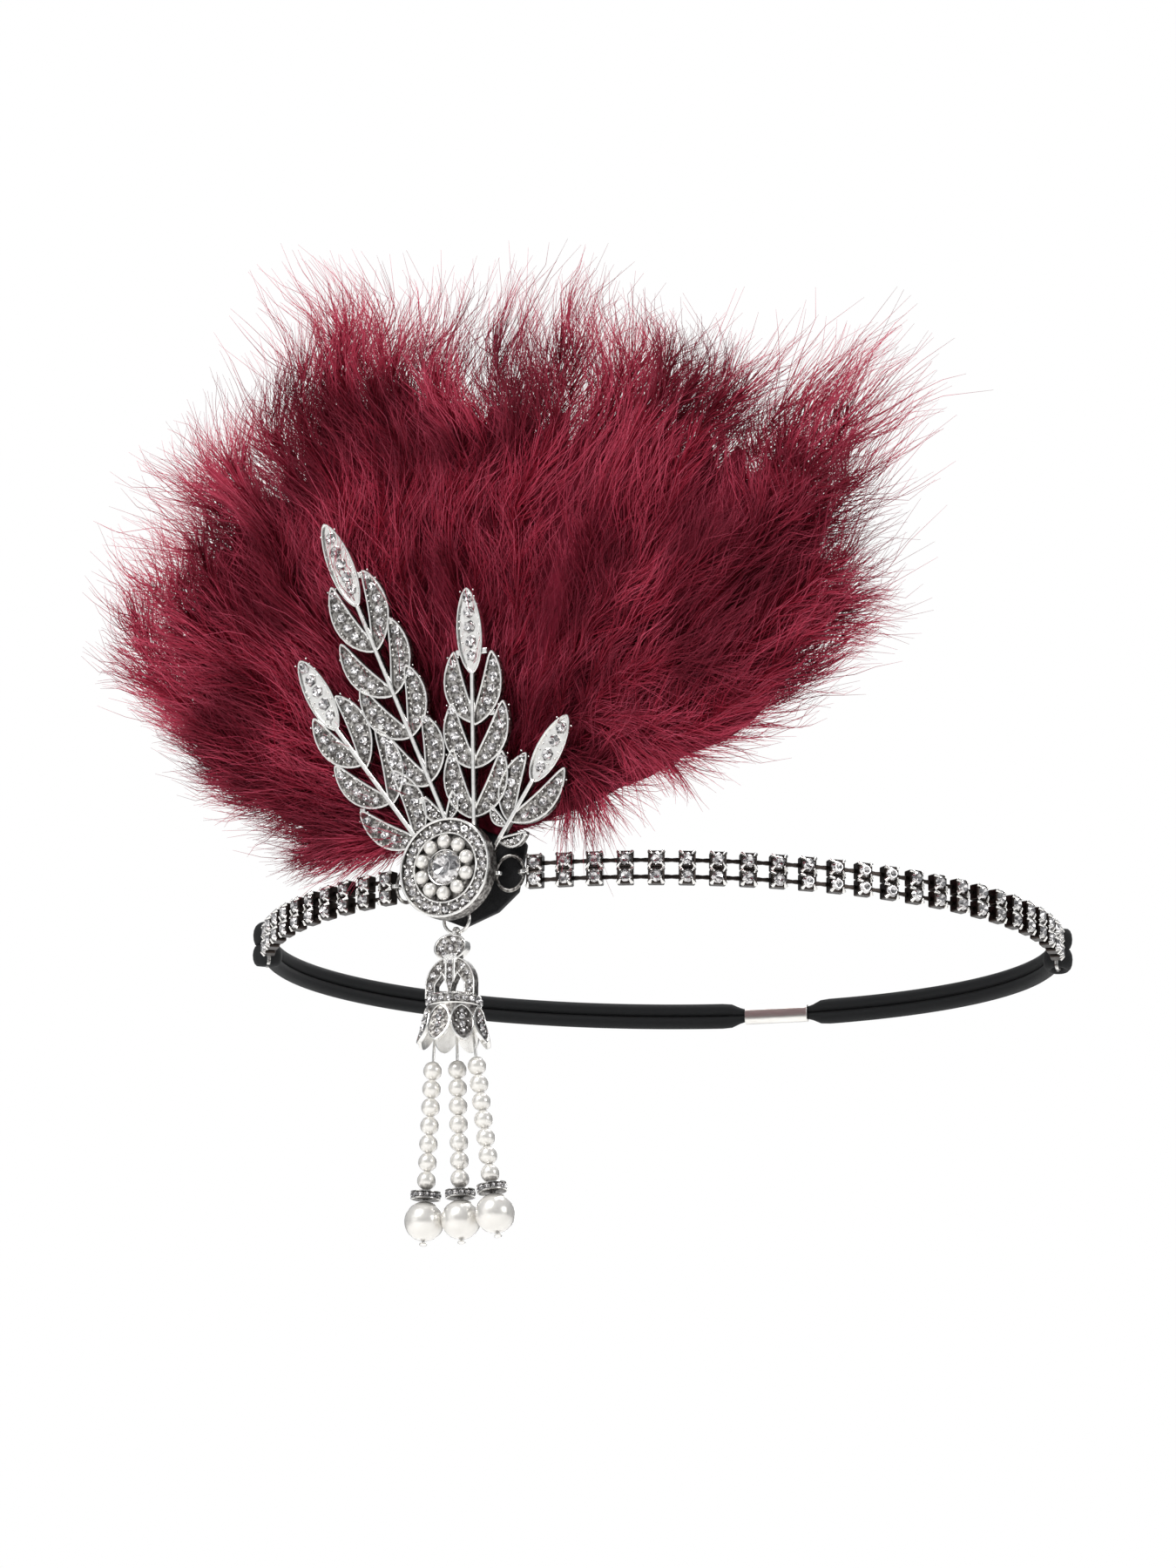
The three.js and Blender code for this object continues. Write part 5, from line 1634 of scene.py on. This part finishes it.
def stage_and_light():
    bpy.ops.object.select_all(action="DESELECT")
    bpy.ops.mesh.primitive_plane_add(size=4, location=(0, 0.6, -0.32))
    floor = bpy.context.object
    floor.name = "floor"
    made, tree, shader = new_material("pale_paper", Roughness=0.9, Specular_IOR_Level=0.2)
    grain = add(tree, "TexNoise", {"Scale": 60})
    tone = add(
        tree, "Mix", {0: grain.outputs["Fac"], 6: linear("#f2f1ef"), 7: linear("#f7f6f5")},
        data_type="RGBA",
    )
    tree.links.new(tone.outputs[2], shader.inputs["Base Color"])
    floor.data.materials.append(made)
    soft_boxes = [
        {"name": "key", "place": (-0.8, -1.0, 1.0), "size": 0.7, "power": 20},
        {"name": "fill", "place": (1.1, -0.9, 0.3), "size": 0.6, "power": 4},
        {"name": "left", "place": (-1.35, -0.85, 0.15), "size": 1.1, "power": 2.6},
        {"name": "top", "place": (0.2, 0.1, 1.3), "size": 0.8, "power": 13},
        {"name": "back", "place": (0.2, 1.3, 0.5), "size": 0.9, "power": 6},
    ]
    for box in soft_boxes:
        light = bpy.data.lights.new(box["name"], "AREA")
        light.shape = "SQUARE"
        light.size = box["size"]
        light.energy = box["power"]
        lamp = bpy.data.objects.new(box["name"], light)
        bpy.context.scene.collection.objects.link(lamp)
        lamp.location = box["place"]
        lamp.rotation_euler = (-lamp.location).to_track_quat("-Z", "Y").to_euler()
    world = bpy.data.worlds.new("studio")
    bpy.context.scene.world = world
    world.use_nodes = True
    tree = world.node_tree
    rays = add(tree, "LightPath", {})
    seen = add(tree, "Background", {"Color": (1, 1, 1, 1), "Strength": 1})
    place = add(tree, "TexCoord", {})
    ways = add(tree, "SeparateXYZ", {0: place.outputs["Generated"]})
    rise = add(
        tree, "MapRange",
        {"Value": ways.outputs["Z"], "From Min": -0.4, "From Max": 0.7, "To Min": 0.12,
         "To Max": 0.5},
    )
    shine = add(tree, "Background", {"Color": linear("#e4e6e9"), "Strength": rise.outputs[0]})
    both = add(
        tree, "MixShader",
        {0: rays.outputs["Is Camera Ray"], 1: shine.outputs[0], 2: seen.outputs[0]},
    )
    tree.links.new(both.outputs[0], tree.nodes["World Output"].inputs["Surface"])
    bpy.context.scene.view_settings.view_transform = "Standard"


def camera_of_photo():
    yaw = math.radians(0.83)
    rise = math.radians(14.49)
    roll = math.radians(0.48)
    lens = bpy.data.cameras.new("camera")
    lens.lens = 122.9
    lens.sensor_width = 36
    lens.clip_start = 0.01
    camera = bpy.data.objects.new("camera", lens)
    bpy.context.scene.collection.objects.link(camera)
    turned = (
        Matrix.Rotation(yaw, 4, "Z")
        @ Matrix.Rotation(math.pi / 2 + rise, 4, "X")
        @ Matrix.Rotation(roll, 4, "Z")
    )
    camera.matrix_basis = Matrix.Translation((0, -1.1706, -0.2638)) @ turned
    bpy.context.scene.camera = camera


stage_and_light()
camera_of_photo()

silver = silver_plate()
dark_silver = oxide_and_painted_shade()
glass_look = foiled_glass()
pearl_look = pearl_coat()
gunmetal_and_shade_look = gunmetal_and_painted_shade()
cord_look = braided_satin()
cup_chain(1, "chain_right", silver, gunmetal_and_shade_look, glass_look)
cup_chain(-1, "chain_left", silver, gunmetal_and_shade_look, glass_look)
elastic_cord(1, "elastic_right", cord_look)
elastic_cord(-1, "elastic_left", cord_look)
crimp_tube(nickel_plated_tube(), gunmetal_and_shade_look)
medallion(silver, dark_silver)
medallion_stones(glass_look, silver)
centre_crystal(glass_look, silver)
medallion_pearls(pearl_look)
felt_patch(wool_felt())
brooch_rings(silver, dark_silver)
leaf_spray(silver, dark_silver, glass_look)
drop_casting(silver, dark_silver, glass_look)
pearl_strings(silver, dark_silver, pearl_look, glass_look)
feather_plume()
